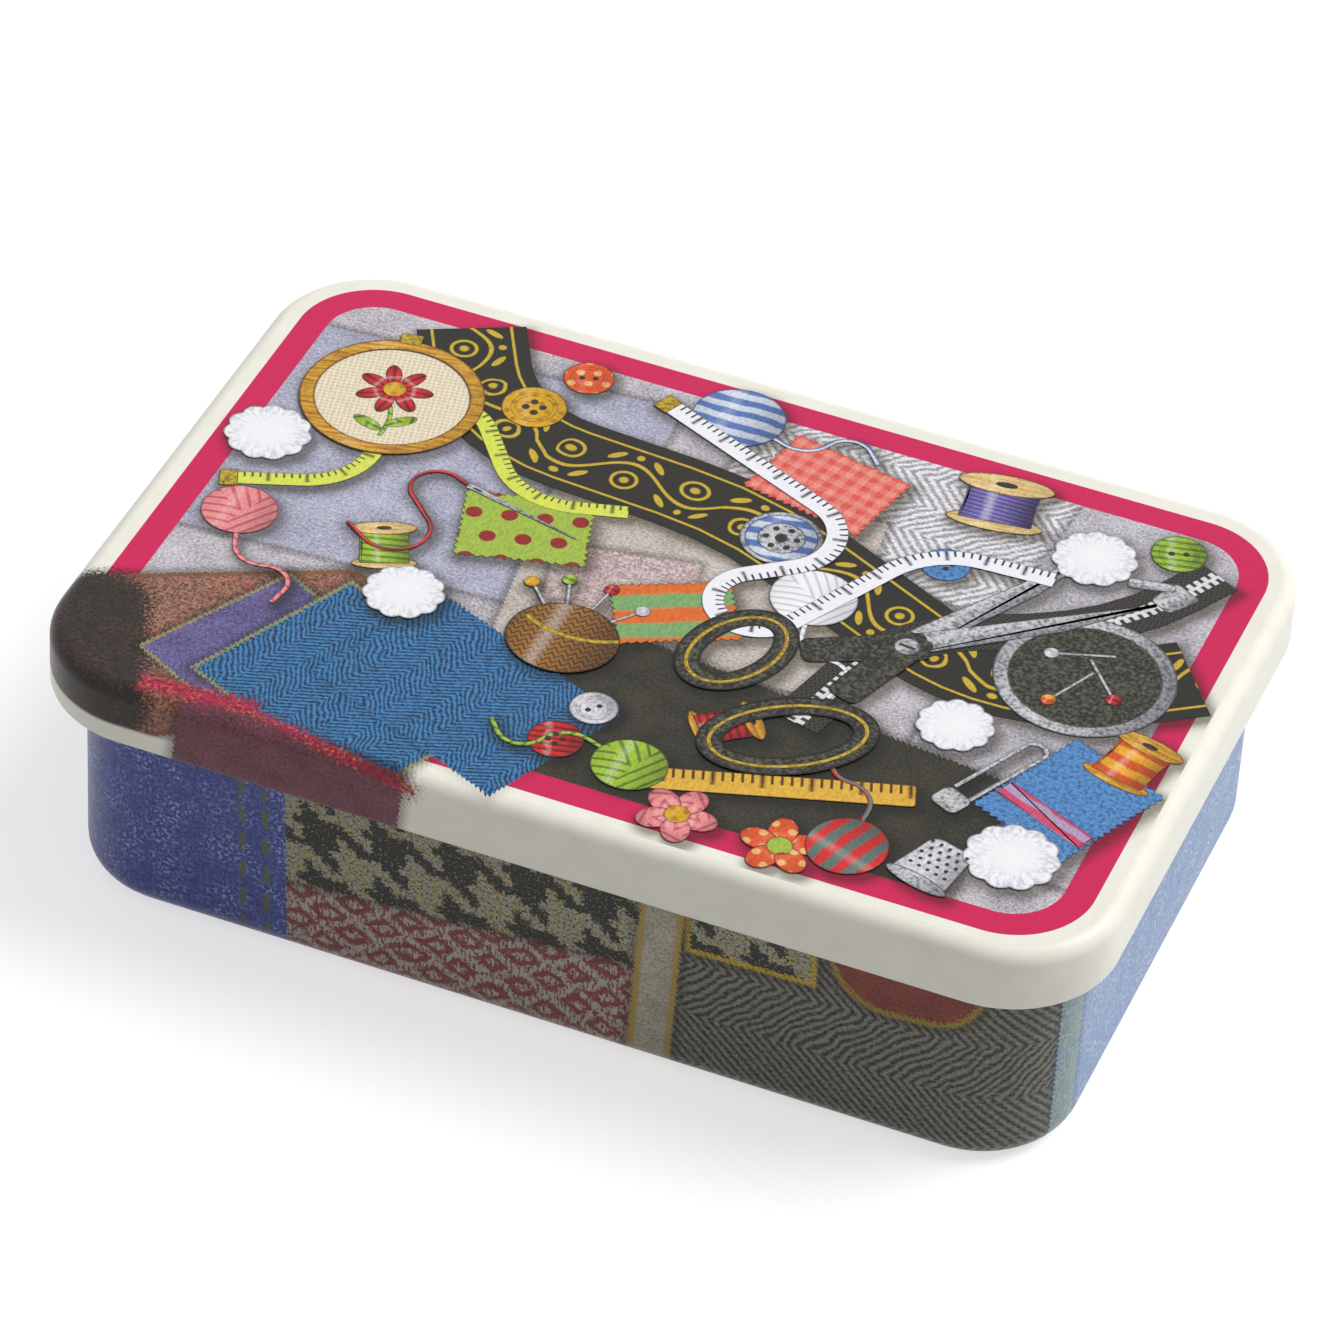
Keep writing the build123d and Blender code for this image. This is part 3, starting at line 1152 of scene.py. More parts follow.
    def dress(self, name: str, varnish: Varnish) -> bpy.types.Material:
        """Make the ink's material, once.

        Args:
            name: The material's name.
            varnish: The varnish over the print.

        Returns:
            The material.
        """
        found = bpy.data.materials.get(name)
        if found:
            return found
        material, graph = new_material(name)
        point = graph.object_place()
        fields = SHEET_FIELDS.place(graph, {"Point": point})
        u = graph.attribute("u")
        v = graph.attribute("v")
        colour = graph.mix(self.marks(graph, u, v, fields), self.base, self.mark)
        if self.roundness:
            off = graph.math("ABSOLUTE", graph.math("ADD", graph.attribute("bulge"), 0.28))
            dim = graph.math("MULTIPLY", graph.rise(off, 0.1, 1.25), self.roundness)
            colour = graph.mix(dim, colour, graph.mix(1.0, colour, ink(84, 74, 92), "MULTIPLY"))
            gleam = graph.math("MULTIPLY", graph.rise(off, 0.22, 0.0), 0.35 * self.roundness)
            colour = graph.mix(gleam, colour, ink(252, 250, 246))
        rubbed = {"Grain": fields["Grain"], "Stroke": fields["Warp"], "Amount": self.grain}
        colour = PENCIL_GRAIN.place(graph, {"Colour": colour, **rubbed})["Colour"]
        inside = graph.math(
            "MULTIPLY_ADD", graph.math("SUBTRACT", fields["Grain"], 0.5), 0.7, graph.attribute("depth")
        )
        colour = graph.mix(graph.rise(inside, 0.12, 0.62), self.outline, colour)
        varnish.close(graph, point, colour, None)
        return material


WHITE = ink(243, 243, 246)
OUTLINE_BLUE = ink(48, 70, 118)
OUTLINE_BROWN = ink(104, 66, 24)


class Ink(Enum):
    """The inks that the motifs are drawn in, by name."""

    WHITE_WOOL = DrawnInk(WHITE, ink(205, 205, 214), Marking.YARN, 0.9, ink(120, 120, 130), 0.3, 0.1)
    WHITE_COTTON = DrawnInk(WHITE, ink(196, 198, 210), Marking.TUFTS, 3.6, ink(150, 148, 156), 0.0, 0.05)
    PURPLE_THREAD = DrawnInk(ink(132, 120, 190), ink(84, 74, 140), Marking.WINDING, 0.6, ink(56, 48, 90), 0.9)
    LIME_THREAD = DrawnInk(ink(170, 200, 62), ink(98, 142, 40), Marking.WINDING, 0.9, ink(60, 84, 30), 0.6)
    RED_THREAD = DrawnInk(ink(214, 44, 46), ink(128, 24, 34), Marking.WINDING, 0.8, ink(84, 20, 26), 0.6)
    ORANGE_THREAD = DrawnInk(ink(244, 176, 48), ink(222, 92, 34), Marking.STRIPES, 2.2, ink(130, 56, 20), 0.6)
    BLUE_WOOL = DrawnInk(ink(92, 124, 188), ink(214, 222, 236), Marking.STRIPES, 1.9, OUTLINE_BLUE, 0.45)
    LIME_WOOL = DrawnInk(ink(166, 196, 58), ink(90, 134, 42), Marking.YARN, 1.1, ink(60, 84, 30), 0.5)
    RED_WOOL = DrawnInk(ink(214, 48, 50), ink(96, 120, 112), Marking.STRIPES, 2.0, ink(90, 24, 28), 0.4)
    PINK_WOOL = DrawnInk(ink(240, 152, 150), ink(206, 96, 110), Marking.YARN, 1.1, ink(140, 60, 76), 0.4)
    MUSTARD = DrawnInk(ink(222, 172, 40), ink(190, 132, 24), Marking.DOTS, 1.3, OUTLINE_BROWN, 0.2)
    ORANGE = DrawnInk(ink(226, 92, 44), ink(244, 190, 120), Marking.DOTS, 1.7, ink(120, 40, 22), 0.2)
    LIME_CLOTH = DrawnInk(ink(164, 190, 74), ink(150, 36, 36), Marking.DOTS, 3.4, ink(70, 92, 34), 0.0)
    CORAL_CLOTH = DrawnInk(ink(240, 150, 134), ink(226, 92, 84), Marking.GINGHAM, 1.6, ink(168, 70, 62), 0.0)
    BLUE_CLOTH = DrawnInk(ink(92, 148, 204), ink(58, 104, 164), Marking.PLAIN, 1.0, OUTLINE_BLUE, 0.0)
    PINK_STRIPE = DrawnInk(ink(178, 160, 196), ink(214, 76, 112), Marking.STRIPES, 1.6, ink(110, 50, 80), 0.0)
    GREEN_CLOTH = DrawnInk(ink(128, 170, 110), ink(226, 110, 44), Marking.STRIPES, 4.2, ink(60, 84, 50), 0.0)
    BLACK_SATIN = DrawnInk(
        ink(34, 33, 27), ink(204, 174, 52), Marking.SCROLLS, 13.0, ink(20, 19, 16), 0.0, 0.45
    )
    BLACK_LACQUER = DrawnInk(ink(30, 29, 25), ink(92, 90, 76), Marking.PLAIN, 1.0, ink(14, 14, 12), 0.0, 0.3)
    GOLD_LINE = DrawnInk(ink(206, 176, 60), ink(140, 112, 26), Marking.PLAIN, 1.0, ink(90, 72, 20), 0.0)
    STEEL = DrawnInk(ink(206, 208, 212), ink(120, 122, 128), Marking.PLAIN, 1.0, ink(70, 70, 72), 0.6, 0.5)
    ZIP_TAPE = DrawnInk(ink(38, 36, 34), ink(70, 66, 58), Marking.KNIT, 0.7, ink(18, 17, 16), 0.0, 0.4)
    ZIP_TEETH = DrawnInk(ink(56, 54, 50), ink(224, 224, 228), Marking.TEETH, 0.95, ink(40, 38, 36), 0.0, 0.3)
    TAPE_WHITE = DrawnInk(
        ink(240, 240, 246), ink(58, 56, 72), Marking.TICKS, 0.75, ink(120, 120, 136), 0.0, 0.15
    )
    TAPE_LIME = DrawnInk(ink(218, 226, 90), ink(84, 92, 40), Marking.TICKS, 0.75, ink(132, 140, 44), 0.0, 0.3)
    WOOD = DrawnInk(ink(226, 176, 60), ink(170, 104, 30), Marking.WOOD, 1.0, OUTLINE_BROWN, 0.2)
    PALE_WOOD = DrawnInk(ink(238, 212, 150), ink(206, 166, 96), Marking.WOOD, 1.0, OUTLINE_BROWN, 0.2)
    RULE = DrawnInk(ink(226, 178, 66), ink(82, 52, 26), Marking.TICKS, 0.9, OUTLINE_BROWN, 0.0)
    BROWN_KNIT = DrawnInk(ink(156, 108, 44), ink(84, 54, 22), Marking.KNIT, 1.0, ink(56, 36, 16), 0.7)
    LINEN = DrawnInk(
        ink(242, 232, 208), ink(216, 200, 168), Marking.GINGHAM, 0.5, ink(150, 130, 96), 0.0, 0.3
    )
    PEARL = DrawnInk(ink(226, 224, 226), ink(176, 172, 190), Marking.PLAIN, 1.0, ink(92, 90, 96), 0.5, 0.25)
    SHADOW = DrawnInk(ink(40, 36, 34), ink(60, 54, 50), Marking.PLAIN, 1.0, ink(40, 36, 34), 0.0, 0.2)

    def material(self, varnish: Varnish) -> bpy.types.Material:
        """Return this ink's material."""
        return self.value.dress(f"ink_{self.name.lower()}", varnish)


# ---------------------------------------------------------------------------------------------------------
# Mesh tools
# ---------------------------------------------------------------------------------------------------------


@dataclass(frozen=True)
class Run:
    """A straight stretch of a walk, in millimetres."""

    length: float


@dataclass(frozen=True)
class Bend:
    """A bend of a walk: its radius in millimetres, and its turn in degrees, to the left if positive."""

    radius: float
    degrees: float


Walk = Sequence[Union[Run, Bend]]


class Walker:
    """Walks a point or an edge through a plane of a mesh, and leaves a line or a strip behind it.

    Straight runs and bends are both spun, a run with no turn and a bend about its own centre.
    """

    def __init__(
        self, mesh: bmesh.types.BMesh, tip: Sequence[object], plane: Matrix, at: Place, heading: float
    ) -> None:
        """Take what is walked and where it starts.

        Args:
            mesh: The mesh that is built.
            tip: The vertices and edges that are walked on.
            plane: The plane that is walked in, as a matrix that puts its x and y into the mesh.
            at: The start in that plane, in millimetres.
            heading: The direction in degrees, from the plane's x towards its y.
        """
        self.mesh = mesh
        self.tip = list(tip)
        self.plane = plane
        self.at = Vector((at[0], at[1], 0.0))
        self.heading = math.radians(heading)
        self.walked = 0.0
        self.mileage: bmesh.types.BMLayerItem | None = None

    def _ahead(self, turn: float = 0.0) -> Vector:
        """Return the direction ahead in the plane, turned by some radians."""
        return Vector((math.cos(self.heading + turn), math.sin(self.heading + turn), 0.0))

    def _spin(self, centre: Vector, angle: float, shift: Vector, steps: int, length: float) -> None:
        """Spin the tip in the plane step by step, and note on what each step makes how far it has come.

        Args:
            centre: The middle of the turn, in the plane.
            angle: The whole turn in radians.
            shift: The whole way straight on.
            steps: How many steps are made.
            length: How long the way is, in millimetres.
        """
        turn_only = self.plane.to_3x3()
        for _ in range(steps):
            made = bmesh.ops.spin(
                self.mesh,
                geom=self.tip,
                cent=self.plane @ centre * MM,
                axis=turn_only @ Vector((0.0, 0.0, 1.0)),
                dvec=turn_only @ shift * (MM / steps),
                angle=angle / steps,
                steps=1,
            )
            self.tip = made["geom_last"]
            self.walked += length / steps
            if self.mileage is not None:
                for vert in (part for part in self.tip if isinstance(part, bmesh.types.BMVert)):
                    vert[self.mileage] = self.walked

    def run(self, length: float, steps: int = 1) -> Walker:
        """Walk straight on.

        Args:
            length: How far, in millimetres.
            steps: In how many equal steps.

        Returns:
            The walker itself.
        """
        self._spin(Vector((0.0, 0.0, 0.0)), 0.0, self._ahead() * length, steps, length)
        self.at += self._ahead() * length
        return self

    def bend(self, radius: float, degrees: float, step_degrees: float = 10.0) -> Walker:
        """Walk round a bend.

        Args:
            radius: Its radius in millimetres.
            degrees: How far it turns, to the left if positive.
            step_degrees: About how far each step turns.

        Returns:
            The walker itself.
        """
        angle = math.radians(degrees)
        side = math.copysign(math.pi / 2, angle)
        centre = self.at + self._ahead(side) * radius
        steps = max(1, round(abs(degrees) / step_degrees))
        self._spin(centre, angle, Vector((0.0, 0.0, 0.0)), steps, radius * abs(angle))
        self.at = centre + Matrix.Rotation(angle, 3, "Z") @ (self.at - centre)
        self.heading += angle
        return self

    def follow(self, walk: Walk) -> Walker:
        """Walk several stretches one after another.

        Args:
            walk: The stretches.

        Returns:
            The walker itself.
        """
        for stretch in walk:
            if isinstance(stretch, Run):
                self.run(stretch.length)
            else:
                self.bend(stretch.radius, stretch.degrees, 8.0)
        return self


@dataclass(frozen=True)
class RoundedOutline:
    """A rounded rectangle about the origin, which sheets are swept round, in millimetres."""

    length: float
    width: float
    corner: float
    corner_steps: int = 16

    def section_plane(self) -> Matrix:
        """Return the plane across the front wall: x points out of the tin and y points up."""
        return Matrix(((0, 0, -1, 0), (-1, 0, 0, -self.width / 2), (0, 1, 0, 0), (0, 0, 0, 1)))

    def sweep(self, mesh: bmesh.types.BMesh) -> None:
        """Sweep the section that the mesh holds round the outline, half of it by its mirror image."""
        half_run = self.length / 2 - self.corner
        side_run = self.width - 2 * self.corner
        walker = Walker(mesh, mesh.verts[:] + mesh.edges[:], Matrix.Identity(4), (0, -self.width / 2), 0.0)
        step = 90 / self.corner_steps
        walker.run(half_run).bend(self.corner, 90, step).run(side_run)
        walker.bend(self.corner, 90, step).run(half_run)
        everything = mesh.verts[:] + mesh.edges[:] + mesh.faces[:]
        bmesh.ops.mirror(mesh, geom=everything, matrix=Matrix.Identity(4), merge_dist=0.002 * MM, axis="X")

    def fill(self, mesh: bmesh.types.BMesh, height: float) -> None:
        """Close the open loop that lies at a height, as the floor or the top.

        Args:
            mesh: The swept mesh.
            height: The loop's height in millimetres.
        """
        near = 0.001 * MM
        loop = [
            e for e in mesh.edges if e.is_boundary and all(abs(v.co.z - height * MM) < near for v in e.verts)
        ]
        bmesh.ops.edgeloop_fill(mesh, edges=loop)

    def round_place(self, point: Vector, side: float) -> tuple[float, float, float]:
        """Find where a point lies round the outline.

        Args:
            point: A point on or near the swept sheet, in metres.
            side: The sign of the half that it belongs to.

        Returns:
            The distance round from the middle of the front, with that sign, and the outward direction's
            x and y.
        """
        half_run = self.length / 2 - self.corner
        half_side = self.width / 2 - self.corner
        x = abs(point.x) / MM
        y = point.y / MM
        quarter = self.corner * math.pi / 2
        if x <= half_run and y < 0:
            return side * x, 0.0, -1.0
        if x <= half_run:
            return side * (2 * half_run + 2 * quarter + 2 * half_side - x), 0.0, 1.0
        if abs(y) <= half_side:
            return side * (half_run + quarter + y + half_side), side, 0.0
        corner_y = math.copysign(half_side, y)
        angle = math.atan2(y - corner_y, x - half_run)
        before = half_run if y < 0 else half_run + quarter + 2 * half_side
        turned = angle + math.pi / 2 if y < 0 else angle
        return side * (before + self.corner * turned), side * math.cos(angle), math.sin(angle)


def cut_window(mesh: bmesh.types.BMesh, across: Place, up: Place, behind: float) -> None:
    """Cut a rectangular hole through a back wall.

    Args:
        mesh: The mesh that is cut.
        across: The hole's lowest and highest x, in millimetres.
        up: Its lowest and highest z.
        behind: Only what lies behind this y is cut.
    """

    def inside(face: bmesh.types.BMFace) -> bool:
        """Tell whether a face lies in the hole."""
        middle = face.calc_center_median() / MM
        return across[0] < middle.x < across[1] and up[0] < middle.z < up[1] and middle.y > behind

    planes = [((x, 0, 0), (1, 0, 0)) for x in across] + [((0, 0, z), (0, 0, 1)) for z in up]
    for place, direction in planes:
        wall = [f for f in mesh.faces if f.calc_center_median().y > behind * MM]
        around = {e for f in wall for e in f.edges} | {v for f in wall for v in f.verts}
        bmesh.ops.bisect_plane(
            mesh, geom=wall + list(around), plane_co=Vector(place) * MM, plane_no=direction
        )
    bmesh.ops.delete(mesh, geom=[f for f in mesh.faces if inside(f)], context="FACES")


def face_away(mesh: bmesh.types.BMesh, faces: Sequence[bmesh.types.BMFace], middle: Vector) -> None:
    """Turn an open sheet's faces so that they face away from a point.

    Args:
        mesh: The mesh.
        faces: The sheet's faces.
        middle: The point in millimetres, on the sheet's inner side.
    """
    bmesh.ops.recalc_face_normals(mesh, faces=faces)
    facing = sum(f.normal.dot(f.calc_center_median() - middle * MM) * f.calc_area() for f in faces)
    if facing < 0:
        bmesh.ops.reverse_faces(mesh, faces=faces)


def finish_piece(
    mesh: bmesh.types.BMesh,
    name: str,
    materials: Sequence[bpy.types.Material],
    body: str,
    recalculate: bool = True,
) -> bpy.types.Object:
    """Turn a mesh into a piece of the tin.

    Args:
        mesh: The mesh, which is used up.
        name: The piece's name.
        materials: Its materials, in the order of its faces' numbers.
        body: The body that it moves with.
        recalculate: Whether its faces are turned outwards first.

    Returns:
        The piece.
    """
    if recalculate:
        bmesh.ops.recalc_face_normals(mesh, faces=mesh.faces[:])
    for face in mesh.faces:
        face.smooth = True
    mesh.edges.index_update()
    borders = [edge.index for edge in mesh.edges if edge.is_boundary]
    data = bpy.data.meshes.new(name)
    mesh.to_mesh(data)
    mesh.free()
    data.set_sharp_from_angle(angle=math.radians(35))
    for index in borders:
        data.edges[index].use_edge_sharp = True
    for material in materials:
        data.materials.append(material)
    piece = bpy.data.objects.new(name, data)
    bpy.context.scene.collection.objects.link(piece)
    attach(piece, body)
    log.info("%s: %d faces, rides on %s", name, len(data.polygons), body)
    return piece


def thicken(piece: bpy.types.Object, thickness: float, inner_material: int = 0) -> None:
    """Give a sheet its thickness on its inner side.

    Args:
        piece: The piece, whose faces point outwards.
        thickness: The thickness in millimetres.
        inner_material: How far down the list of materials the inner side's one is.
    """
    solidify = piece.modifiers.new("thickness", "SOLIDIFY")
    solidify.thickness = thickness * MM
    solidify.offset = -1.0
    solidify.use_even_offset = True
    solidify.material_offset = inner_material
    solidify.material_offset_rim = inner_material


# ---------------------------------------------------------------------------------------------------------
# Sub-assemblies
# ---------------------------------------------------------------------------------------------------------


@dataclass(frozen=True)
class TinSizes:
    """Sizes that the base, the lid and the hinge share. Outside sizes come from the frame."""

    lid_length: float
    lid_width: float
    height: float
    skirt_height: float
    base_length: float
    base_width: float
    wire_length: float
    hinge_y: float
    hinge_z: float
    open_angle: float
    tinplate: float = 0.25
    wire_radius: float = 0.45
    lid_corner: float = 10.8
    base_corner: float = 9.8
    shoulder_radius: float = 1.5
    bottom_edge_radius: float = 3.0
    bead_radius: float = 0.6
    hem_radius: float = 0.75
    curl_gap: float = 0.15
    lid_gap: float = 0.15
    hinge_spacing: float = 52.0
    lug_width: float = 6.0
    print_depth: float = 0.02

    @classmethod
    def from_frame(cls) -> TinSizes:
        """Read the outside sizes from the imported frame."""
        lid_low, lid_high = (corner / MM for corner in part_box("tin_lid"))
        base_low, base_high = (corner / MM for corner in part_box("tin_base"))
        wire_low, wire_high = (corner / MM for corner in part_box("hinge_wire"))
        bead_reach = 2 * cls.bead_radius - cls.tinplate
        hinge = (wire_low + wire_high) / 2
        return cls(
            lid_length=lid_high.x - lid_low.x,
            lid_width=lid_high.y - lid_low.y,
            height=lid_high.z,
            skirt_height=lid_high.z - lid_low.z,
            base_length=base_high.x - base_low.x - 2 * bead_reach,
            base_width=2 * (-base_low.y - bead_reach),
            wire_length=wire_high.x - wire_low.x,
            hinge_y=hinge.y,
            hinge_z=hinge.z,
            open_angle=max(joint["range_deg"][1] for joint in frame["joints"]),
        )

    def rolled_turn(self, roll_radius: float) -> float:
        """Return how far an edge rolls round, in degrees, until it stands the curl gap off its wall."""
        return 360 - math.degrees(math.acos((roll_radius - self.tinplate - self.curl_gap) / roll_radius))

    def lug_places(self) -> tuple[float, float]:
        """Return the middles of the two lugs along x."""
        return (-self.hinge_spacing / 2, self.hinge_spacing / 2)


@dataclass(frozen=True)
class Base:
    """The drawn base: its sheet with the rolled bead and the two lugs, and the print round its wall."""

    sizes: TinSizes
    lug_riser: float = 1.3
    lug_bend_radius: float = 0.5
    lug_curl_turn: float = 185.0
    stop_margin: float = 3.0
    lug_clearance: float = 0.3
    print_start: float = 14.0
    print_below_bead: float = 0.8
    print_map: str = "wall_sheet"

    def outline(self) -> RoundedOutline:
        """Return the base's outline."""
        return RoundedOutline(self.sizes.base_length, self.sizes.base_width, self.sizes.base_corner)

    def middle(self) -> Vector:
        """Return the middle of the base's inside."""
        return Vector((0, 0, self.sizes.height / 2))

    def bead_axis_z(self) -> float:
        """Return the height of the middle of the rolled bead."""
        return self.sizes.height - self.sizes.tinplate - self.sizes.lid_gap - self.sizes.bead_radius

    def lug_heading(self) -> float:
        """Return the direction of a lug's riser, in degrees above level, which stops the open lid."""
        sizes = self.sizes
        reach = sizes.hem_radius + self.lug_clearance
        notch_rise = math.sqrt(reach**2 - (sizes.hem_radius - sizes.tinplate) ** 2)
        notch_angle = 2 * math.degrees(math.atan2(notch_rise, sizes.hem_radius))
        lean = notch_angle - sizes.open_angle - self.stop_margin
        return 90 + lean

    def lug_root(self) -> tuple[float, float]:
        """Return the level run of a lug from the wall, and the height of its middle, in millimetres."""
        sizes = self.sizes
        heading = math.radians(self.lug_heading())
        middle = sizes.hem_radius - sizes.tinplate / 2
        bend = self.lug_bend_radius + sizes.tinplate / 2
        run = sizes.hinge_y - bend_end_reach(middle, self.lug_riser, bend, heading)
        curl_drop = middle * math.cos(heading)
        drop = curl_drop + self.lug_riser * math.sin(heading) + bend * (1 - math.cos(heading))
        return run - (sizes.base_width - sizes.tinplate) / 2, sizes.hinge_z - drop

    def add_lugs(self, mesh: bmesh.types.BMesh) -> None:
        """Cut the two windows in the back wall, and walk each lug out of it, round the wire."""
        sizes = self.sizes
        root_run, root_z = self.lug_root()
        half = sizes.lug_width / 2
        wall_y = (sizes.base_width - sizes.tinplate) / 2
        start_z = root_z - sizes.tinplate / 2
        outer_bend = self.lug_bend_radius + sizes.tinplate
        curl = self.lug_curl_turn
        bent = (self.lug_bend_radius + sizes.tinplate / 2) * math.radians(self.lug_heading())
        curled = (sizes.hem_radius - sizes.tinplate / 2) * math.radians(curl)
        window_low = root_z + sizes.tinplate / 2
        window_high = root_z + root_run + bent + self.lug_riser + curled
        plane = Matrix(((0, 0, 1, 0), (1, 0, 0, 0), (0, 1, 0, 0), (0, 0, 0, 1)))
        for middle in sizes.lug_places():
            cut_window(mesh, (middle - half, middle + half), (window_low, window_high), wall_y - 1)
            before = set(mesh.faces)
            ends = [mesh.verts.new(Vector((middle + x, wall_y, start_z)) * MM) for x in (-half, half)]
            edge = mesh.edges.new(ends)
            walker = Walker(mesh, ends + [edge], plane, (wall_y, start_z), 0.0)
            walker.run(root_run).bend(outer_bend, self.lug_heading()).run(self.lug_riser)
            walker.bend(sizes.hem_radius, curl)
            lug = [face for face in mesh.faces if face not in before]
            face_away(mesh, lug, Vector((middle, sizes.hinge_y, sizes.hinge_z)))

    def build_shell(self, bare: bpy.types.Material, inside: bpy.types.Material) -> bpy.types.Object:
        """Build the sheet itself.

        Args:
            bare: The finish of its outer side.
            inside: The finish of its inner side.

        Returns:
            The piece.
        """
        sizes = self.sizes
        mesh = bmesh.new()
        outline = self.outline()
        start = outline.section_plane() @ Vector((-sizes.bottom_edge_radius, 0, 0))
        tip = [mesh.verts.new(start * MM)]
        walker = Walker(mesh, tip, outline.section_plane(), (-sizes.bottom_edge_radius, 0), 0.0)
        walker.bend(sizes.bottom_edge_radius, 90).run(self.bead_axis_z() - sizes.bottom_edge_radius)
        walker.bend(sizes.bead_radius - sizes.tinplate, -sizes.rolled_turn(sizes.bead_radius), 15)
        outline.sweep(mesh)
        outline.fill(mesh, 0.0)
        face_away(mesh, mesh.faces[:], self.middle())
        self.add_lugs(mesh)
        shell = finish_piece(mesh, "base_shell", (bare, inside), "base", recalculate=False)
        thicken(shell, sizes.tinplate, 1)
        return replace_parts(shell, "tin_base")

    def build_print(self, wall_print: bpy.types.Material) -> bpy.types.Object:
        """Build the printed layer round the wall, from just above the floor to just below the bead."""
        sizes = self.sizes
        depth = sizes.print_depth
        mesh = bmesh.new()
        outline = self.outline()
        plane = outline.section_plane()
        radius = sizes.bottom_edge_radius + depth
        start_angle = math.radians(self.print_start - 90)
        at = (
            radius * math.cos(start_angle) - sizes.bottom_edge_radius,
            radius * math.sin(start_angle) + sizes.bottom_edge_radius,
        )
        tip = [mesh.verts.new(plane @ Vector((*at, 0)) * MM)]
        walker = Walker(mesh, tip, plane, at, self.print_start)
        walker.bend(radius, 90 - self.print_start)
        walker.run(self.bead_axis_z() - self.print_below_bead - sizes.bottom_edge_radius)
        outline.sweep(mesh)
        face_away(mesh, mesh.faces[:], self.middle())
        root_run, root_z = self.lug_root()
        half = sizes.lug_width / 2
        low = root_z - sizes.tinplate / 2
        high = root_z + root_run + 5
        for middle in sizes.lug_places():
            cut_window(mesh, (middle - half, middle + half), (low, high), sizes.base_width / 2 - 1)
        layer = mesh.loops.layers.uv.new(self.print_map)
        for face in mesh.faces:
            side = math.copysign(1.0, face.calc_center_median().x)
            for loop in face.loops:
                around, _, _ = outline.round_place(loop.vert.co, side)
                loop[layer].uv = (around, loop.vert.co.z / MM)
        wrap = finish_piece(mesh, "base_print", (wall_print,), "base", recalculate=False)
        thicken(wrap, 1.5 * depth)
        return wrap


def bend_end_reach(middle: float, riser: float, bend: float, heading: float) -> float:
    """Measure how far a lug's level root ends short of the hinge axis.

    Args:
        middle: The curl's middle radius in millimetres.
        riser: The riser's length.
        bend: The bend's middle radius.
        heading: The riser's direction in radians.

    Returns:
        The distance in millimetres, positive towards the wall.
    """
    return riser * math.cos(heading) + bend * math.sin(heading) - middle * math.sin(heading)


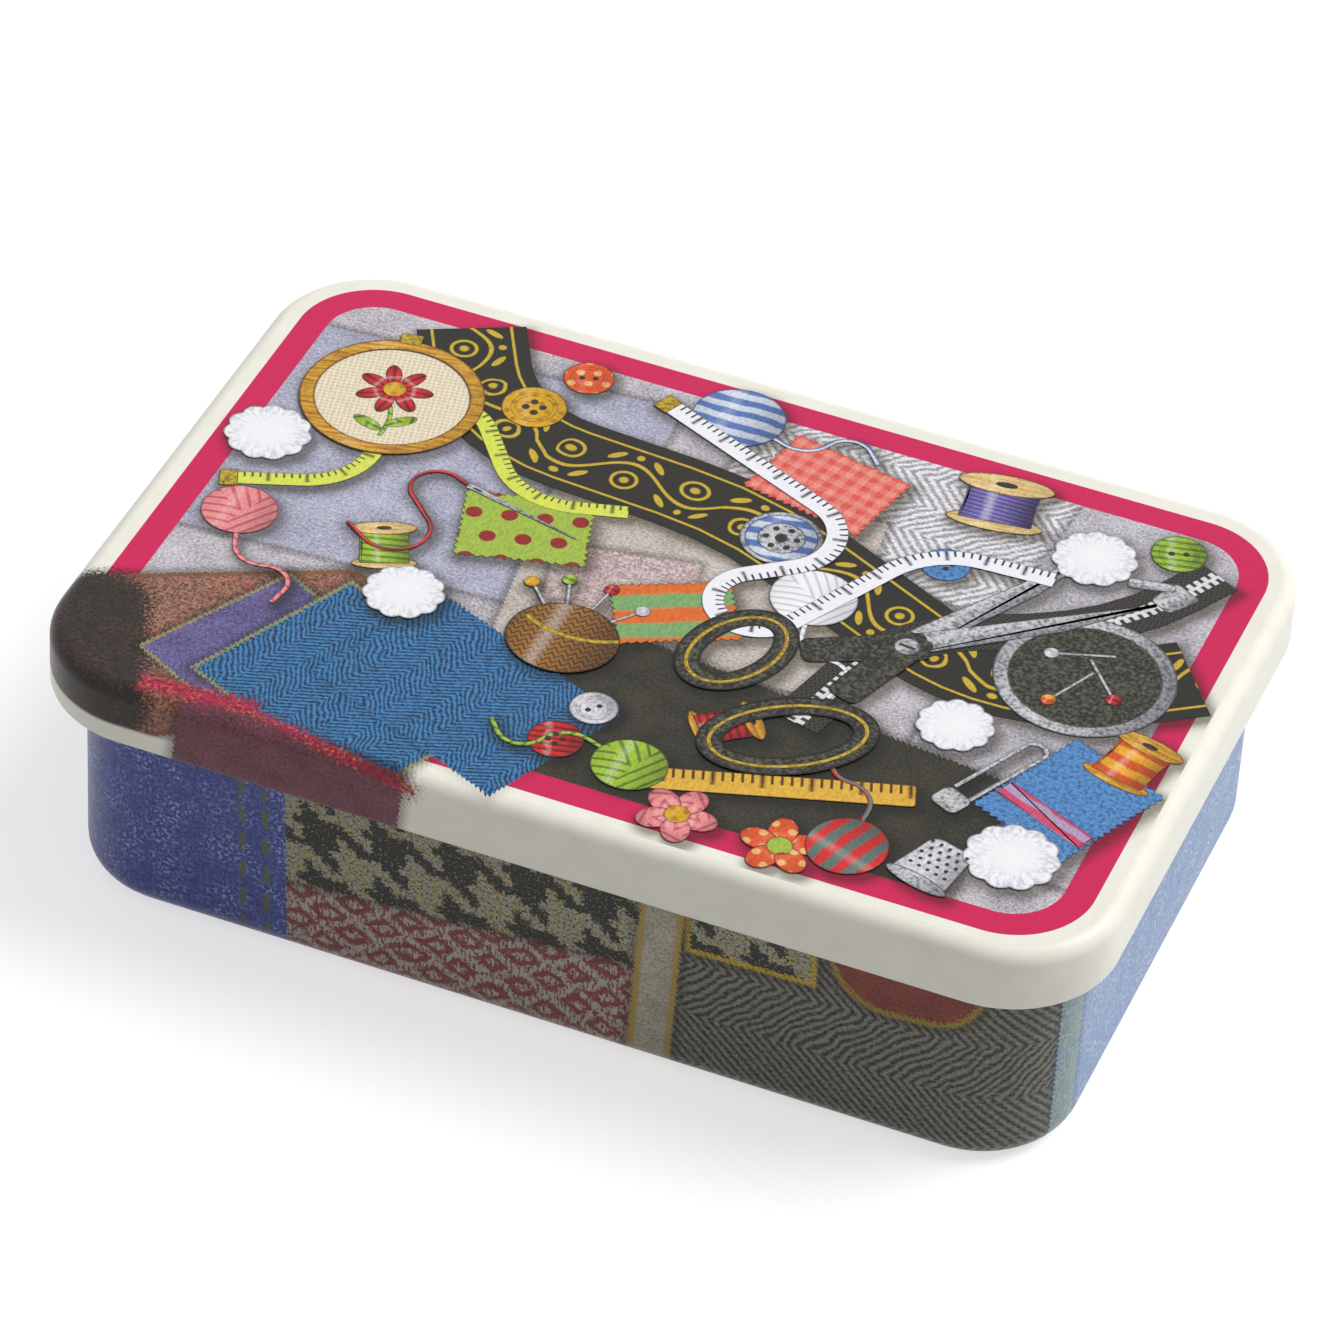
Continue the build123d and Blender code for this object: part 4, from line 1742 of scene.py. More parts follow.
@dataclass(frozen=True)
class Lid:
    """The drawn lid: its sheet with the rolled hem, and the print on its sides and on its flat top."""

    sizes: TinSizes
    notch_clearance: float = 0.7
    side_clearance: float = 0.3
    print_map: str = "lid_sheet"
    grid_step: float = 0.45
    top_overlap: float = 0.06
    top_lift: float = 1.1

    def middle(self) -> Vector:
        """Return the middle of the tin, which every side of the lid faces away from."""
        return Vector((0, 0, self.sizes.height / 2))

    def outline(self) -> RoundedOutline:
        """Return the lid's outline."""
        return RoundedOutline(self.sizes.lid_length, self.sizes.lid_width, self.sizes.lid_corner)

    def walk_section(self, mesh: bmesh.types.BMesh, depth: float, hem_turn: float) -> RoundedOutline:
        """Walk the section from the flat top over the shoulder and down the skirt into the hem, and sweep it.

        Args:
            mesh: The empty mesh.
            depth: How far the surface stands outside the sheet, in millimetres.
            hem_turn: How far the hem turns, in degrees.

        Returns:
            The outline that the section was swept round.
        """
        sizes = self.sizes
        outline = self.outline()
        plane = outline.section_plane()
        at = (-sizes.shoulder_radius, sizes.height + depth)
        tip = [mesh.verts.new(plane @ Vector((*at, 0)) * MM)]
        walker = Walker(mesh, tip, plane, at, 0.0)
        walker.bend(sizes.shoulder_radius + depth, -90)
        walker.run(sizes.height - sizes.shoulder_radius - sizes.hinge_z)
        walker.bend(sizes.hem_radius + depth, -hem_turn, 12)
        outline.sweep(mesh)
        return outline

    def cut_notches(self, mesh: bmesh.types.BMesh) -> None:
        """Cut the two notches for the lugs, open below, in the back skirt."""
        sizes = self.sizes
        reach = sizes.hem_radius + self.notch_clearance
        rise = math.sqrt(reach**2 - (sizes.hem_radius - sizes.tinplate) ** 2)
        half = sizes.lug_width / 2 + self.side_clearance
        below = sizes.height - sizes.skirt_height - 1
        for middle in sizes.lug_places():
            cut_window(
                mesh, (middle - half, middle + half), (below, sizes.hinge_z + rise),
                sizes.hinge_y - 2 * sizes.hem_radius
            )

    def build_shell(self, bare: bpy.types.Material, inside: bpy.types.Material) -> bpy.types.Object:
        """Build the sheet itself.

        Args:
            bare: The finish of its outer side.
            inside: The finish of its inner side.

        Returns:
            The piece.
        """
        sizes = self.sizes
        mesh = bmesh.new()
        outline = self.walk_section(mesh, 0.0, sizes.rolled_turn(sizes.hem_radius))
        outline.fill(mesh, sizes.height)
        face_away(mesh, mesh.faces[:], self.middle())
        self.cut_notches(mesh)
        shell = finish_piece(mesh, "lid_shell", (bare, inside), "lid", recalculate=False)
        thicken(shell, sizes.tinplate, 1)
        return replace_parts(shell, "tin_lid")

    def build_side_print(self, lid_print: LidPrint) -> bpy.types.Object:
        """Build the printed layer over the shoulder, the skirt and the hem."""
        sizes = self.sizes
        mesh = bmesh.new()
        outline = self.walk_section(mesh, sizes.print_depth, 225.0)
        face_away(mesh, mesh.faces[:], self.middle())
        self.cut_notches(mesh)
        layer = mesh.loops.layers.uv.new(self.print_map)
        edge = mesh.verts.layers.float.new("edge")
        for vert in mesh.verts:
            vert[edge] = self.prominence(vert.co.z / MM)
        for face in mesh.faces:
            side = math.copysign(1.0, face.calc_center_median().x)
            for loop in face.loops:
                loop[layer].uv = self.unfold(outline, loop.vert.co, side)
        coat = finish_piece(
            mesh, "lid_side_print", (lid_print.folded(self.print_map),), "lid", recalculate=False
        )
        thicken(coat, 1.5 * sizes.print_depth)
        return coat

    def prominence(self, height: float) -> float:
        """Return how far a height lies down the hem, from 0 above its axis to 1 on its underside."""
        below_axis = (self.sizes.hinge_z - height) / self.sizes.hem_radius
        return max(0.0, min(1.0, below_axis))

    def unfold(self, outline: RoundedOutline, point: Vector, side: float) -> Place:
        """Lay a point of the side back onto the flat sheet that the lid was drawn from.

        Args:
            outline: The lid's outline.
            point: The point in metres.
            side: The sign of the half that it belongs to.

        Returns:
            The place on the sheet in millimetres.
        """
        sizes = self.sizes
        _, out_x, out_y = outline.round_place(point, side)
        height = point.z / MM
        shoulder_z = sizes.height - sizes.shoulder_radius
        half_run = outline.length / 2 - outline.corner
        half_side = outline.width / 2 - outline.corner
        core_x = max(-half_run, min(half_run, point.x / MM))
        core_y = max(-half_side, min(half_side, point.y / MM))
        reach = Vector((point.x / MM - core_x, point.y / MM - core_y)).length
        start = outline.corner - sizes.shoulder_radius
        if height >= shoulder_z:
            gone = sizes.shoulder_radius * math.atan2(reach - start, height - shoulder_z)
        else:
            gone = sizes.shoulder_radius * math.pi / 2 + shoulder_z - height
        return core_x + out_x * (start + gone), core_y + out_y * (start + gone)

    def build_top_print(self, material: bpy.types.Material) -> bpy.types.Object:
        """Build the printed layer of the flat top as a fine grid with rounded corners.

        Args:
            material: Its finish.

        Returns:
            The piece, not yet thick, whose grid takes the printed shadows.
        """
        sizes = self.sizes
        corner = sizes.lid_corner - sizes.shoulder_radius + self.top_overlap
        half_length = sizes.lid_length / 2 - sizes.lid_corner + corner
        half_width = sizes.lid_width / 2 - sizes.lid_corner + corner
        lift = Matrix.Translation((0, 0, (sizes.height + self.top_lift * sizes.print_depth) * MM))
        mesh = bmesh.new()
        bmesh.ops.create_grid(
            mesh,
            x_segments=round(2 * half_length / self.grid_step),
            y_segments=round(2 * half_width / self.grid_step),
            size=1.0,
            matrix=lift @ Matrix.Diagonal((half_length * MM, half_width * MM, 1, 1)),
        )
        cuts = 12
        for corner_x in (-1, 1):
            for corner_y in (-1, 1):
                middle = Vector((corner_x * (half_length - corner), corner_y * (half_width - corner), 0))
                for cut in range(cuts):
                    angle = (cut + 0.5) * math.pi / 2 / cuts
                    out = Vector((corner_x * math.cos(angle), corner_y * math.sin(angle), 0))
                    near = [
                        f for f in mesh.faces if (f.calc_center_median() / MM - middle).dot(out) > corner - 2
                    ]
                    around = {e for f in near for e in f.edges} | {v for f in near for v in f.verts}
                    bmesh.ops.bisect_plane(
                        mesh,
                        geom=near + list(around),
                        plane_co=(middle + out * corner) * MM,
                        plane_no=out,
                        clear_outer=True,
                    )
        return finish_piece(mesh, "lid_top_print", (material,), "lid")


@dataclass(frozen=True)
class Hinge:
    """The hinge wire, which lies in the lid's back hem and shows at the two notches."""

    sizes: TinSizes
    sides: int = 24
    end_chamfer: float = 0.12

    def dress(self) -> bpy.types.Material:
        """Return the wire's finish: bright drawn steel with lines along it."""
        material, graph = new_material("drawn_wire")
        point = graph.object_place()
        lines = graph.noise(graph.vector("MULTIPLY", point, (0.25, 14.0, 14.0)), 1.0, 2.0, 0.7)
        marks = graph.noise(point, 0.8, 3.0, 0.7)
        colour = graph.mix(graph.rise(lines, 0.3, 0.7), ink(150, 150, 148), ink(206, 206, 202))
        bump = graph.node("ShaderNodeBump")
        graph.feed(bump.inputs["Height"], lines)
        graph.feed(bump.inputs["Strength"], 0.15)
        graph.feed(bump.inputs["Distance"], 0.02 * MM)
        shader = graph.node("ShaderNodeBsdfPrincipled")
        graph.feed(shader.inputs["Base Color"], colour)
        graph.feed(shader.inputs["Metallic"], 1.0)
        graph.feed(shader.inputs["Roughness"], graph.math("MULTIPLY_ADD", marks, 0.2, 0.18))
        graph.feed(shader.inputs["Normal"], bump.outputs[0])
        output = graph.node("ShaderNodeOutputMaterial")
        graph.feed(output.inputs["Surface"], shader.outputs[0])
        return material

    def build(self) -> bpy.types.Object:
        """Build the wire, with cropped and slightly rounded ends."""
        sizes = self.sizes
        mesh = bmesh.new()
        half = sizes.wire_length / 2
        place = Matrix.Translation(Vector((-half, sizes.hinge_y, sizes.hinge_z)) * MM)
        bmesh.ops.create_circle(
            mesh,
            cap_ends=True,
            segments=self.sides,
            radius=sizes.wire_radius * MM,
            matrix=place @ Matrix.Rotation(math.pi / 2, 4, "Y"),
        )
        made = bmesh.ops.extrude_face_region(mesh, geom=mesh.faces[:])
        moved = [part for part in made["geom"] if isinstance(part, bmesh.types.BMVert)]
        bmesh.ops.translate(mesh, verts=moved, vec=Vector((2 * half, 0, 0)) * MM)
        rims = [e for e in mesh.edges if abs(e.verts[0].co.x - e.verts[1].co.x) < 0.001 * MM]
        bmesh.ops.bevel(
            mesh,
            geom=rims,
            offset=self.end_chamfer * MM,
            offset_type="OFFSET",
            affect="EDGES",
            segments=2,
            profile=0.5,
            material=-1,
        )
        wire = finish_piece(mesh, "hinge_wire_drawn", (self.dress(),), "lid")
        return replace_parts(wire, "hinge_wire")


# ---------------------------------------------------------------------------------------------------------
# The printed picture on the lid
# ---------------------------------------------------------------------------------------------------------


class Cutout:
    """One printed motif: flat shapes cut by operators and laid over one another, in one mesh."""

    LEVEL = 0.008

    def __init__(self, at: Place, turn: float, height: float) -> None:
        """Start an empty motif.

        Args:
            at: Its place on the lid in millimetres.
            turn: Its turn in degrees.
            height: The height of its lowest shape in millimetres.
        """
        self.mesh = bmesh.new()
        self.notes = {name: self.mesh.verts.layers.float.new(name) for name in ("u", "v", "depth", "bulge")}
        lift = Matrix.Translation(Vector((at[0], at[1], height)) * MM)
        self.place = lift @ Matrix.Rotation(math.radians(turn), 4, "Z")
        self.inks: list[Ink] = []
        self.level = 0

    def _lay(self, faces: Sequence[bmesh.types.BMFace], ink_used: Ink, middle: Place, turn: float) -> Cutout:
        """Put a shape that was cut about its own origin in its place, on the next level, in its ink."""
        if ink_used not in self.inks:
            self.inks.append(ink_used)
        lift = Matrix.Translation(Vector((middle[0], middle[1], self.level * self.LEVEL)) * MM)
        verts = list({vert for face in faces for vert in face.verts})
        turned = self.place @ lift @ Matrix.Rotation(math.radians(turn), 4, "Z")
        bmesh.ops.transform(self.mesh, matrix=turned, verts=verts)
        for face in faces:
            face.material_index = self.inks.index(ink_used)
            if face.normal.z < 0:
                face.normal_flip()
        self.level += 1
        return self

    def _note(self, verts: Sequence[bmesh.types.BMVert], half_width: float) -> None:
        """Write each vertex's own place on the shape, and how far it lies across a round thing."""
        for vert in verts:
            vert[self.notes["u"]] = vert.co.x / MM
            vert[self.notes["v"]] = vert.co.y / MM
            vert[self.notes["bulge"]] = vert.co.x / MM / half_width

    def _rim(self, face: bmesh.types.BMFace, rim: float, half_width: float) -> list[bmesh.types.BMFace]:
        """Inset a face by the width of its drawn outline, and note the places on it."""
        ring = bmesh.ops.inset_individual(self.mesh, faces=[face], thickness=rim * MM, use_even_offset=True)
        faces = [*ring["faces"], face]
        self._note(list({vert for part in faces for vert in part.verts}), half_width)
        for vert in face.verts:
            vert[self.notes["depth"]] = 1.0
        self.mesh.normal_update()
        return faces

    def oval(
        self,
        ink_used: Ink,
        half: Place,
        middle: Place = (0.0, 0.0),
        turn: float = 0.0,
        rim: float = 0.3,
        sides: int = 40,
    ) -> Cutout:
        """Cut an oval.

        Args:
            ink_used: Its ink.
            half: Half its length and half its width in millimetres.
            middle: Its middle on the motif.
            turn: Its turn in degrees.
            rim: The width of its drawn outline.
            sides: How many sides it has.

        Returns:
            The motif itself.
        """
        size = Matrix.Diagonal((half[0], half[1], 1.0, 1.0))
        made = bmesh.ops.create_circle(self.mesh, cap_ends=True, segments=sides, radius=MM, matrix=size)
        face = made["verts"][0].link_faces[0]
        return self._lay(self._rim(face, min(rim, 0.45 * min(half)), half[0]), ink_used, middle, turn)

    def panel(
        self,
        ink_used: Ink,
        corners: Sequence[Place],
        middle: Place = (0.0, 0.0),
        turn: float = 0.0,
        rounding: float = 0.4,
        rim: float = 0.25,
    ) -> Cutout:
        """Cut a panel with rounded corners.

        Args:
            ink_used: Its ink.
            corners: Its corners in millimetres, counter-clockwise.
            middle: Its origin on the motif.
            turn: Its turn in degrees.
            rounding: How far its corners are rounded.
            rim: The width of its drawn outline.

        Returns:
            The motif itself.
        """
        verts = [self.mesh.verts.new(Vector((x, y, 0.0)) * MM) for x, y in corners]
        face = self.mesh.faces.new(verts)
        half_width = max(abs(x) for x, _ in corners)
        if rounding:
            bmesh.ops.bevel(
                self.mesh,
                geom=verts,
                offset=rounding * MM,
                offset_type="OFFSET",
                affect="VERTICES",
                segments=4,
                profile=0.5,
                material=-1,
            )
            face = next(part for part in self.mesh.faces if all(v.co.z == 0 for v in part.verts))
        return self._lay(self._rim(face, rim, half_width), ink_used, middle, turn)

    def ring(
        self, ink_used: Ink, half: Place, width: float,
        middle: Place = (0.0, 0.0), turn: float = 0.0, sides: int = 48
    ) -> Cutout:
        """Cut a ring.

        Args:
            ink_used: Its ink.
            half: Half its outer length and width in millimetres.
            width: How wide the ring itself is.
            middle: Its middle on the motif.
            turn: Its turn in degrees.
            sides: How many sides it has.

        Returns:
            The motif itself.
        """
        size = Matrix.Diagonal((half[0], half[1], 1.0, 1.0))
        made = bmesh.ops.create_circle(self.mesh, cap_ends=False, segments=sides, radius=MM, matrix=size)
        loop = list({edge for vert in made["verts"] for edge in vert.link_edges})
        faces: list[bmesh.types.BMFace] = []
        self._note(made["verts"], half[0])
        reached = 0.0
        for step, depth in ((0.25, 1.0), (0.5, 1.0), (0.25, 0.0)):
            grown = bmesh.ops.extrude_edge_only(self.mesh, edges=loop)["geom"]
            verts = [part for part in grown if isinstance(part, bmesh.types.BMVert)]
            loop = [
                part for part in grown
                if isinstance(part, bmesh.types.BMEdge) and set(part.verts) <= set(verts)
            ]
            faces += [part for part in grown if isinstance(part, bmesh.types.BMFace)]
            before = reached
            reached += step * width
            shrink = [(side - reached) / (side - before) for side in half]
            bmesh.ops.scale(self.mesh, vec=(shrink[0], shrink[1], 1.0), verts=verts)
            self._note(verts, half[0])
            for vert in verts:
                vert[self.notes["depth"]] = depth
        self.mesh.normal_update()
        return self._lay(faces, ink_used, middle, turn)

    def strip(
        self, ink_used: Ink, width: float, walk: Walk,
        start: Place = (0.0, 0.0), heading: float = 0.0, rim: float = 0.2
    ) -> Cutout:
        """Cut a strip that follows a walk, such as a tape, a ribbon or a thread.

        Args:
            ink_used: Its ink.
            width: Its width in millimetres.
            walk: The straight runs and bends of its middle.
            start: Where it starts on the motif.
            heading: Its first direction in degrees.
            rim: The width of its drawn outline.

        Returns:
            The motif itself.
        """
        half = width / 2
        side = Matrix.Rotation(math.radians(heading), 3, "Z") @ Vector((0.0, 1.0, 0.0))
        first = Vector((start[0], start[1], 0.0))
        offsets = (-half, -half + rim, half - rim, half)
        verts = [self.mesh.verts.new((first + side * offset) * MM) for offset in offsets]
        edges = [self.mesh.edges.new(pair) for pair in zip(verts, verts[1:])]
        for vert, offset, depth in zip(verts, offsets, (0.0, 1.0, 1.0, 0.0)):
            vert[self.notes["v"]] = offset
            vert[self.notes["depth"]] = depth
            vert[self.notes["bulge"]] = offset / half
        before = set(self.mesh.faces)
        walker = Walker(self.mesh, verts + edges, Matrix.Identity(4), start, heading)
        walker.mileage = self.notes["u"]
        walker.follow(walk)
        self.mesh.normal_update()
        faces = [face for face in self.mesh.faces if face not in before]
        return self._lay(faces, ink_used, (0.0, 0.0), 0.0)

    def pinked(
        self, ink_used: Ink, half: Place, tooth: float = 0.9, middle: Place = (0.0, 0.0), turn: float = 0.0
    ) -> Cutout:
        """Cut a scrap with pinking shears.

        Args:
            ink_used: Its ink.
            half: Half its length and half its width in millimetres.
            tooth: The pitch of its pinked edge.
            middle: Its middle on the motif.
            turn: Its turn in degrees.

        Returns:
            The motif itself.
        """
        size = Matrix.Diagonal((half[0], half[1], 1.0, 1.0))
        verts = bmesh.ops.create_grid(self.mesh, x_segments=1, y_segments=1, size=MM, matrix=size)["verts"]
        face = verts[0].link_faces[0]
        for edge in list(face.edges):
            teeth = max(2, round(edge.calc_length() / MM / tooth))
            bmesh.ops.subdivide_edges(self.mesh, edges=[edge], cuts=2 * teeth - 1)
        face = next(part for part in self.mesh.faces if all(v.co.z == 0 for v in part.verts))
        middle_point = face.calc_center_median()
        for number, loop in enumerate(face.loops):
            if number % 2:
                continue
            loop.vert.co += (middle_point - loop.vert.co).normalized() * 0.45 * tooth * MM
        return self._lay(self._rim(face, 0.2, half[0]), ink_used, middle, turn)

    def puff(self, ink_used: Ink, radius: float, lobes: int = 11, middle: Place = (0.0, 0.0)) -> Cutout:
        """Cut a round puff with a scalloped edge.

        Args:
            ink_used: Its ink.
            radius: Its radius in millimetres.
            lobes: How many scallops it has.
            middle: Its middle on the motif.

        Returns:
            The motif itself.
        """
        sides = lobes * 6
        made = bmesh.ops.create_circle(self.mesh, cap_ends=True, segments=sides, radius=radius * MM)
        for number, vert in enumerate(made["verts"]):
            swell = abs(math.sin(math.pi * number / 6)) * 0.1 - 0.03 * math.cos(2 * math.pi * number / sides)
            vert.co *= 1 + swell
        face = made["verts"][0].link_faces[0]
        return self._lay(self._rim(face, 0.35, radius), ink_used, middle, 0.0)


@dataclass
class Picture:
    """The printed picture: sewing things laid out over the patchwork, each a flat motif of its own."""

    height: float
    varnish: Varnish
    layer_gap: float = 0.02

    def start(self, at: Place, turn: float = 0.0, layer: int = 1) -> Cutout:
        """Start a motif at a place on the lid, on one of the picture's layers."""
        return Cutout(at, turn, self.height + layer * self.layer_gap)

    def keep(self, cutout: Cutout, name: str) -> bpy.types.Object:
        """Finish a motif.

        Args:
            cutout: Its shapes.
            name: The piece's name.

        Returns:
            The piece.
        """
        materials = [used.material(self.varnish) for used in cutout.inks]
        piece = finish_piece(cutout.mesh, name, materials, "lid", recalculate=False)
        thicken(piece, 0.8 * Cutout.LEVEL)
        return piece

    def reel(
        self, name: str, at: Place, turn: float, thread: Ink,
        size: Place = (6.0, 8.0), wood: Ink = Ink.PALE_WOOD
    ) -> bpy.types.Object:
        """Draw a cotton reel that stands up.

        Args:
            name: The piece's name.
            at: Its middle on the lid.
            turn: Its turn in degrees.
            thread: The ink of its thread.
            size: Its width and height in millimetres.
            wood: The ink of its flanges.

        Returns:
            The piece.
        """
        half, tall = size[0] / 2, size[1] / 2
        waist = 0.86 * half
        low, high = -0.72 * tall, 0.66 * tall
        cut = self.start(at, turn, 2)
        cut.oval(wood, (1.12 * half, 0.3 * half), (0.0, low))
        body = [
            (-waist, low), (waist, low), (0.95 * waist, 0.0),
            (waist, high), (-waist, high), (-0.95 * waist, 0.0)
        ]
        cut.panel(thread, body, rounding=0.25)
        cut.oval(wood, (1.12 * half, 0.36 * half), (0.0, high))
        cut.oval(Ink.SHADOW, (0.26 * half, 0.1 * half), (0.0, high), rim=0.1, sides=20)
        return self.keep(cut, name)

    def button(
        self, name: str, at: Place, radius: float, colour: Ink,
        holes: int = 4, turn: float = 20.0, layer: int = 2
    ) -> bpy.types.Object:
        """Draw a button.

        Args:
            name: The piece's name.
            at: Its middle on the lid.
            radius: Its radius in millimetres.
            colour: Its ink.
            holes: How many holes it has.
            turn: Its turn in degrees.
            layer: The picture's layer that it lies on.

        Returns:
            The piece.
        """
        cut = self.start(at, turn, layer)
        cut.oval(colour, (radius, radius), rim=0.3)
        cut.ring(colour, (0.72 * radius, 0.72 * radius), 0.16 * radius)
        for number in range(holes):
            angle = 2 * math.pi * number / holes
            spot = (0.26 * radius * math.cos(angle), 0.26 * radius * math.sin(angle))
            cut.oval(Ink.SHADOW, (0.12 * radius, 0.12 * radius), spot, rim=0.05, sides=16)
        return self.keep(cut, name)

    def wool_ball(
        self, name: str, at: Place, radius: float, wool: Ink,
        tail: Walk = (), heading: float = -60.0, turn: float = 0.0
    ) -> bpy.types.Object:
        """Draw a ball of wool with its loose end.

        Args:
            name: The piece's name.
            at: Its middle on the lid.
            radius: Its radius in millimetres.
            wool: Its ink.
            tail: The way of its loose end.
            heading: The direction in which the loose end leaves.
            turn: The ball's turn in degrees.

        Returns:
            The piece.
        """
        cut = self.start(at, turn, 3)
        if tail:
            angle = math.radians(heading)
            start = (0.85 * radius * math.cos(angle), 0.85 * radius * math.sin(angle))
            cut.strip(wool, 0.5, tail, start, heading, rim=0.12)
        cut.oval(wool, (radius, 0.97 * radius), rim=0.3)
        return self.keep(cut, name)

    def puffs(self, name: str, places: Sequence[tuple[float, float, float]]) -> bpy.types.Object:
        """Draw cotton puffs, each given by its x, y and radius in millimetres."""
        cut = self.start((0.0, 0.0), 0.0, 4)
        for x, y, radius in places:
            cut.puff(Ink.WHITE_COTTON, radius, middle=(x, y))
        return self.keep(cut, name)

    def scrap(
        self, name: str, at: Place, turn: float, half: Place,
        cloth: Ink, hem: Ink | None = None, layer: int = 1
    ) -> bpy.types.Object:
        """Draw a pinked scrap of cloth, with a braid along one side where it has one.

        Args:
            name: The piece's name.
            at: Its middle on the lid.
            turn: Its turn in degrees.
            half: Half its length and half its width in millimetres.
            cloth: Its ink.
            hem: The braid's ink.
            layer: The picture's layer that it lies on.

        Returns:
            The piece.
        """
        cut = self.start(at, turn, layer)
        cut.pinked(cloth, half)
        if hem:
            braid = [
                (-0.93 * half[0], -1.1), (0.93 * half[0], -1.1), (0.93 * half[0], 1.1), (-0.93 * half[0], 1.1)
            ]
            cut.panel(hem, braid, middle=(0.0, -0.45 * half[1]), rounding=0.1)
        return self.keep(cut, name)

    def black_ribbon(self) -> bpy.types.Object:
        """Draw the wide satin ribbon that sweeps across the picture, embroidered with a running scroll."""
        cut = self.start((-34.0, 29.5), -62.0, 0)
        walk = (
            Run(6.0), Bend(17.0, 58.0), Run(11.0), Bend(40.0, -22.0), Run(16.0), Bend(19.0, 62.0), Run(6.8)
        )
        cut.strip(Ink.BLACK_SATIN, 10.8, walk, rim=0.3)
        return self.keep(cut, "embroidered_ribbon")

    def shears(self) -> bpy.types.Object:
        """Draw the dressmaker's shears: steel blades, black bows with a gold line, and the pivot screw."""
        cut = self.start((22.0, 2.0), -40.0, 4)
        blade = [(-1.7, 1.0), (1.2, -0.6), (1.9, 15.0), (0.6, 25.0)]
        for turn in (13.0, -9.0):
            cut.panel(Ink.STEEL, blade, turn=turn, rounding=0.3)
        shank = [(-1.7, -10.0), (1.7, -10.0), (2.0, 2.0), (-2.0, 2.0)]
        bows = (((-6.3, -14.6), (4.9, 6.8), 18.0, -22.0), ((6.6, -16.2), (5.4, 8.6), -16.0, 22.0))
        for middle, half, bow_turn, shank_turn in bows:
            cut.panel(Ink.BLACK_LACQUER, shank, turn=shank_turn, rounding=0.9)
            cut.ring(Ink.BLACK_LACQUER, half, 2.5, middle, bow_turn)
            cut.ring(Ink.GOLD_LINE, (half[0] - 1.0, half[1] - 1.0), 0.42, middle, bow_turn)
        cut.oval(Ink.STEEL, (1.25, 1.25), rim=0.3, sides=28)
        slot = [(-0.8, -0.16), (0.8, -0.16), (0.8, 0.16), (-0.8, 0.16)]
        cut.panel(Ink.SHADOW, slot, turn=35.0, rounding=0.0, rim=0.05)
        return self.keep(cut, "shears")

    def zip_fastener(self) -> bpy.types.Object:
        """Draw the zip: a black tape in an arc, with steel teeth and its slider."""
        cut = self.start((45.0, 24.5), -118.0, 1)
        walk = (Run(5.0), Bend(26.0, -34.0), Run(6.0), Bend(16.0, 48.0), Run(9.0))
        cut.strip(Ink.ZIP_TAPE, 5.2, walk, rim=0.25)
        cut.strip(Ink.ZIP_TEETH, 1.7, walk, rim=0.1)
        slider = [(-1.3, -2.2), (1.3, -2.2), (1.7, 1.6), (-1.7, 1.6)]
        cut.panel(Ink.STEEL, slider, (5.5, 0.0), 90.0, rounding=0.6)
        pull = [(-0.8, -4.6), (0.8, -4.6), (0.6, 0.0), (-0.6, 0.0)]
        cut.panel(Ink.STEEL, pull, (4.6, -1.0), 40.0, rounding=0.5)
        return self.keep(cut, "zip_fastener")

    def tapes(self) -> list[bpy.types.Object]:
        """Draw the two tape measures."""
        white = self.start((-12.0, 26.5), -24.0, 5)
        turns = (
            Run(21.0), Bend(5.5, -118.0), Run(5.0), Bend(4.2, 205.0), Run(13.0), Bend(9.0, -60.0), Run(7.0)
        )
        white.strip(Ink.TAPE_WHITE, 2.1, turns, rim=0.14)
        clip = [(-0.9, -1.2), (0.9, -1.2), (0.9, 1.2), (-0.9, 1.2)]
        white.panel(Ink.GOLD_LINE, clip, rounding=0.2)
        lime = self.start((-45.5, -2.0), 22.0, 2)
        lime_turns = (
            Run(7.0), Bend(7.0, 75.0), Run(4.0), Bend(5.0, -150.0), Run(6.0), Bend(8.0, 70.0), Run(5.0)
        )
        lime.strip(Ink.TAPE_LIME, 1.8, lime_turns, rim=0.14)
        lime.panel(Ink.GOLD_LINE, clip, rounding=0.2)
        return [self.keep(white, "white_tape_measure"), self.keep(lime, "lime_tape_measure")]

    def hoop(self) -> bpy.types.Object:
        """Draw the embroidery hoop with linen in it and a stitched flower."""
        cut = self.start((-36.5, 16.0), 12.0, 3)
        cut.oval(Ink.LINEN, (8.0, 8.0), rim=0.2, sides=48)
        petals = 7
        stem = (Run(1.5), Bend(6.0, 45.0))
        cut.strip(Ink.LIME_WOOL, 0.5, stem, (0.0, -6.2), 78.0, rim=0.1)
        cut.oval(Ink.LIME_WOOL, (1.7, 0.7), (1.6, -3.6), 30.0, rim=0.15, sides=24)
        cut.oval(Ink.LIME_WOOL, (1.7, 0.7), (-1.5, -4.4), 150.0, rim=0.15, sides=24)
        for number in range(petals):
            angle = 360 * number / petals
            spot = (2.3 * math.cos(math.radians(angle)), 1.2 + 2.3 * math.sin(math.radians(angle)))
            cut.oval(Ink.RED_THREAD, (1.55, 0.8), spot, angle, rim=0.15, sides=24)
        cut.oval(Ink.MUSTARD, (1.15, 1.15), (0.0, 1.2), rim=0.15, sides=28)
        cut.ring(Ink.WOOD, (9.0, 9.0), 1.5)
        brass = [(-1.1, -0.7), (1.1, -0.7), (1.1, 0.9), (-1.1, 0.9)]
        cut.panel(Ink.GOLD_LINE, brass, (0.0, 9.2), rounding=0.2)
        return self.keep(cut, "embroidery_hoop")

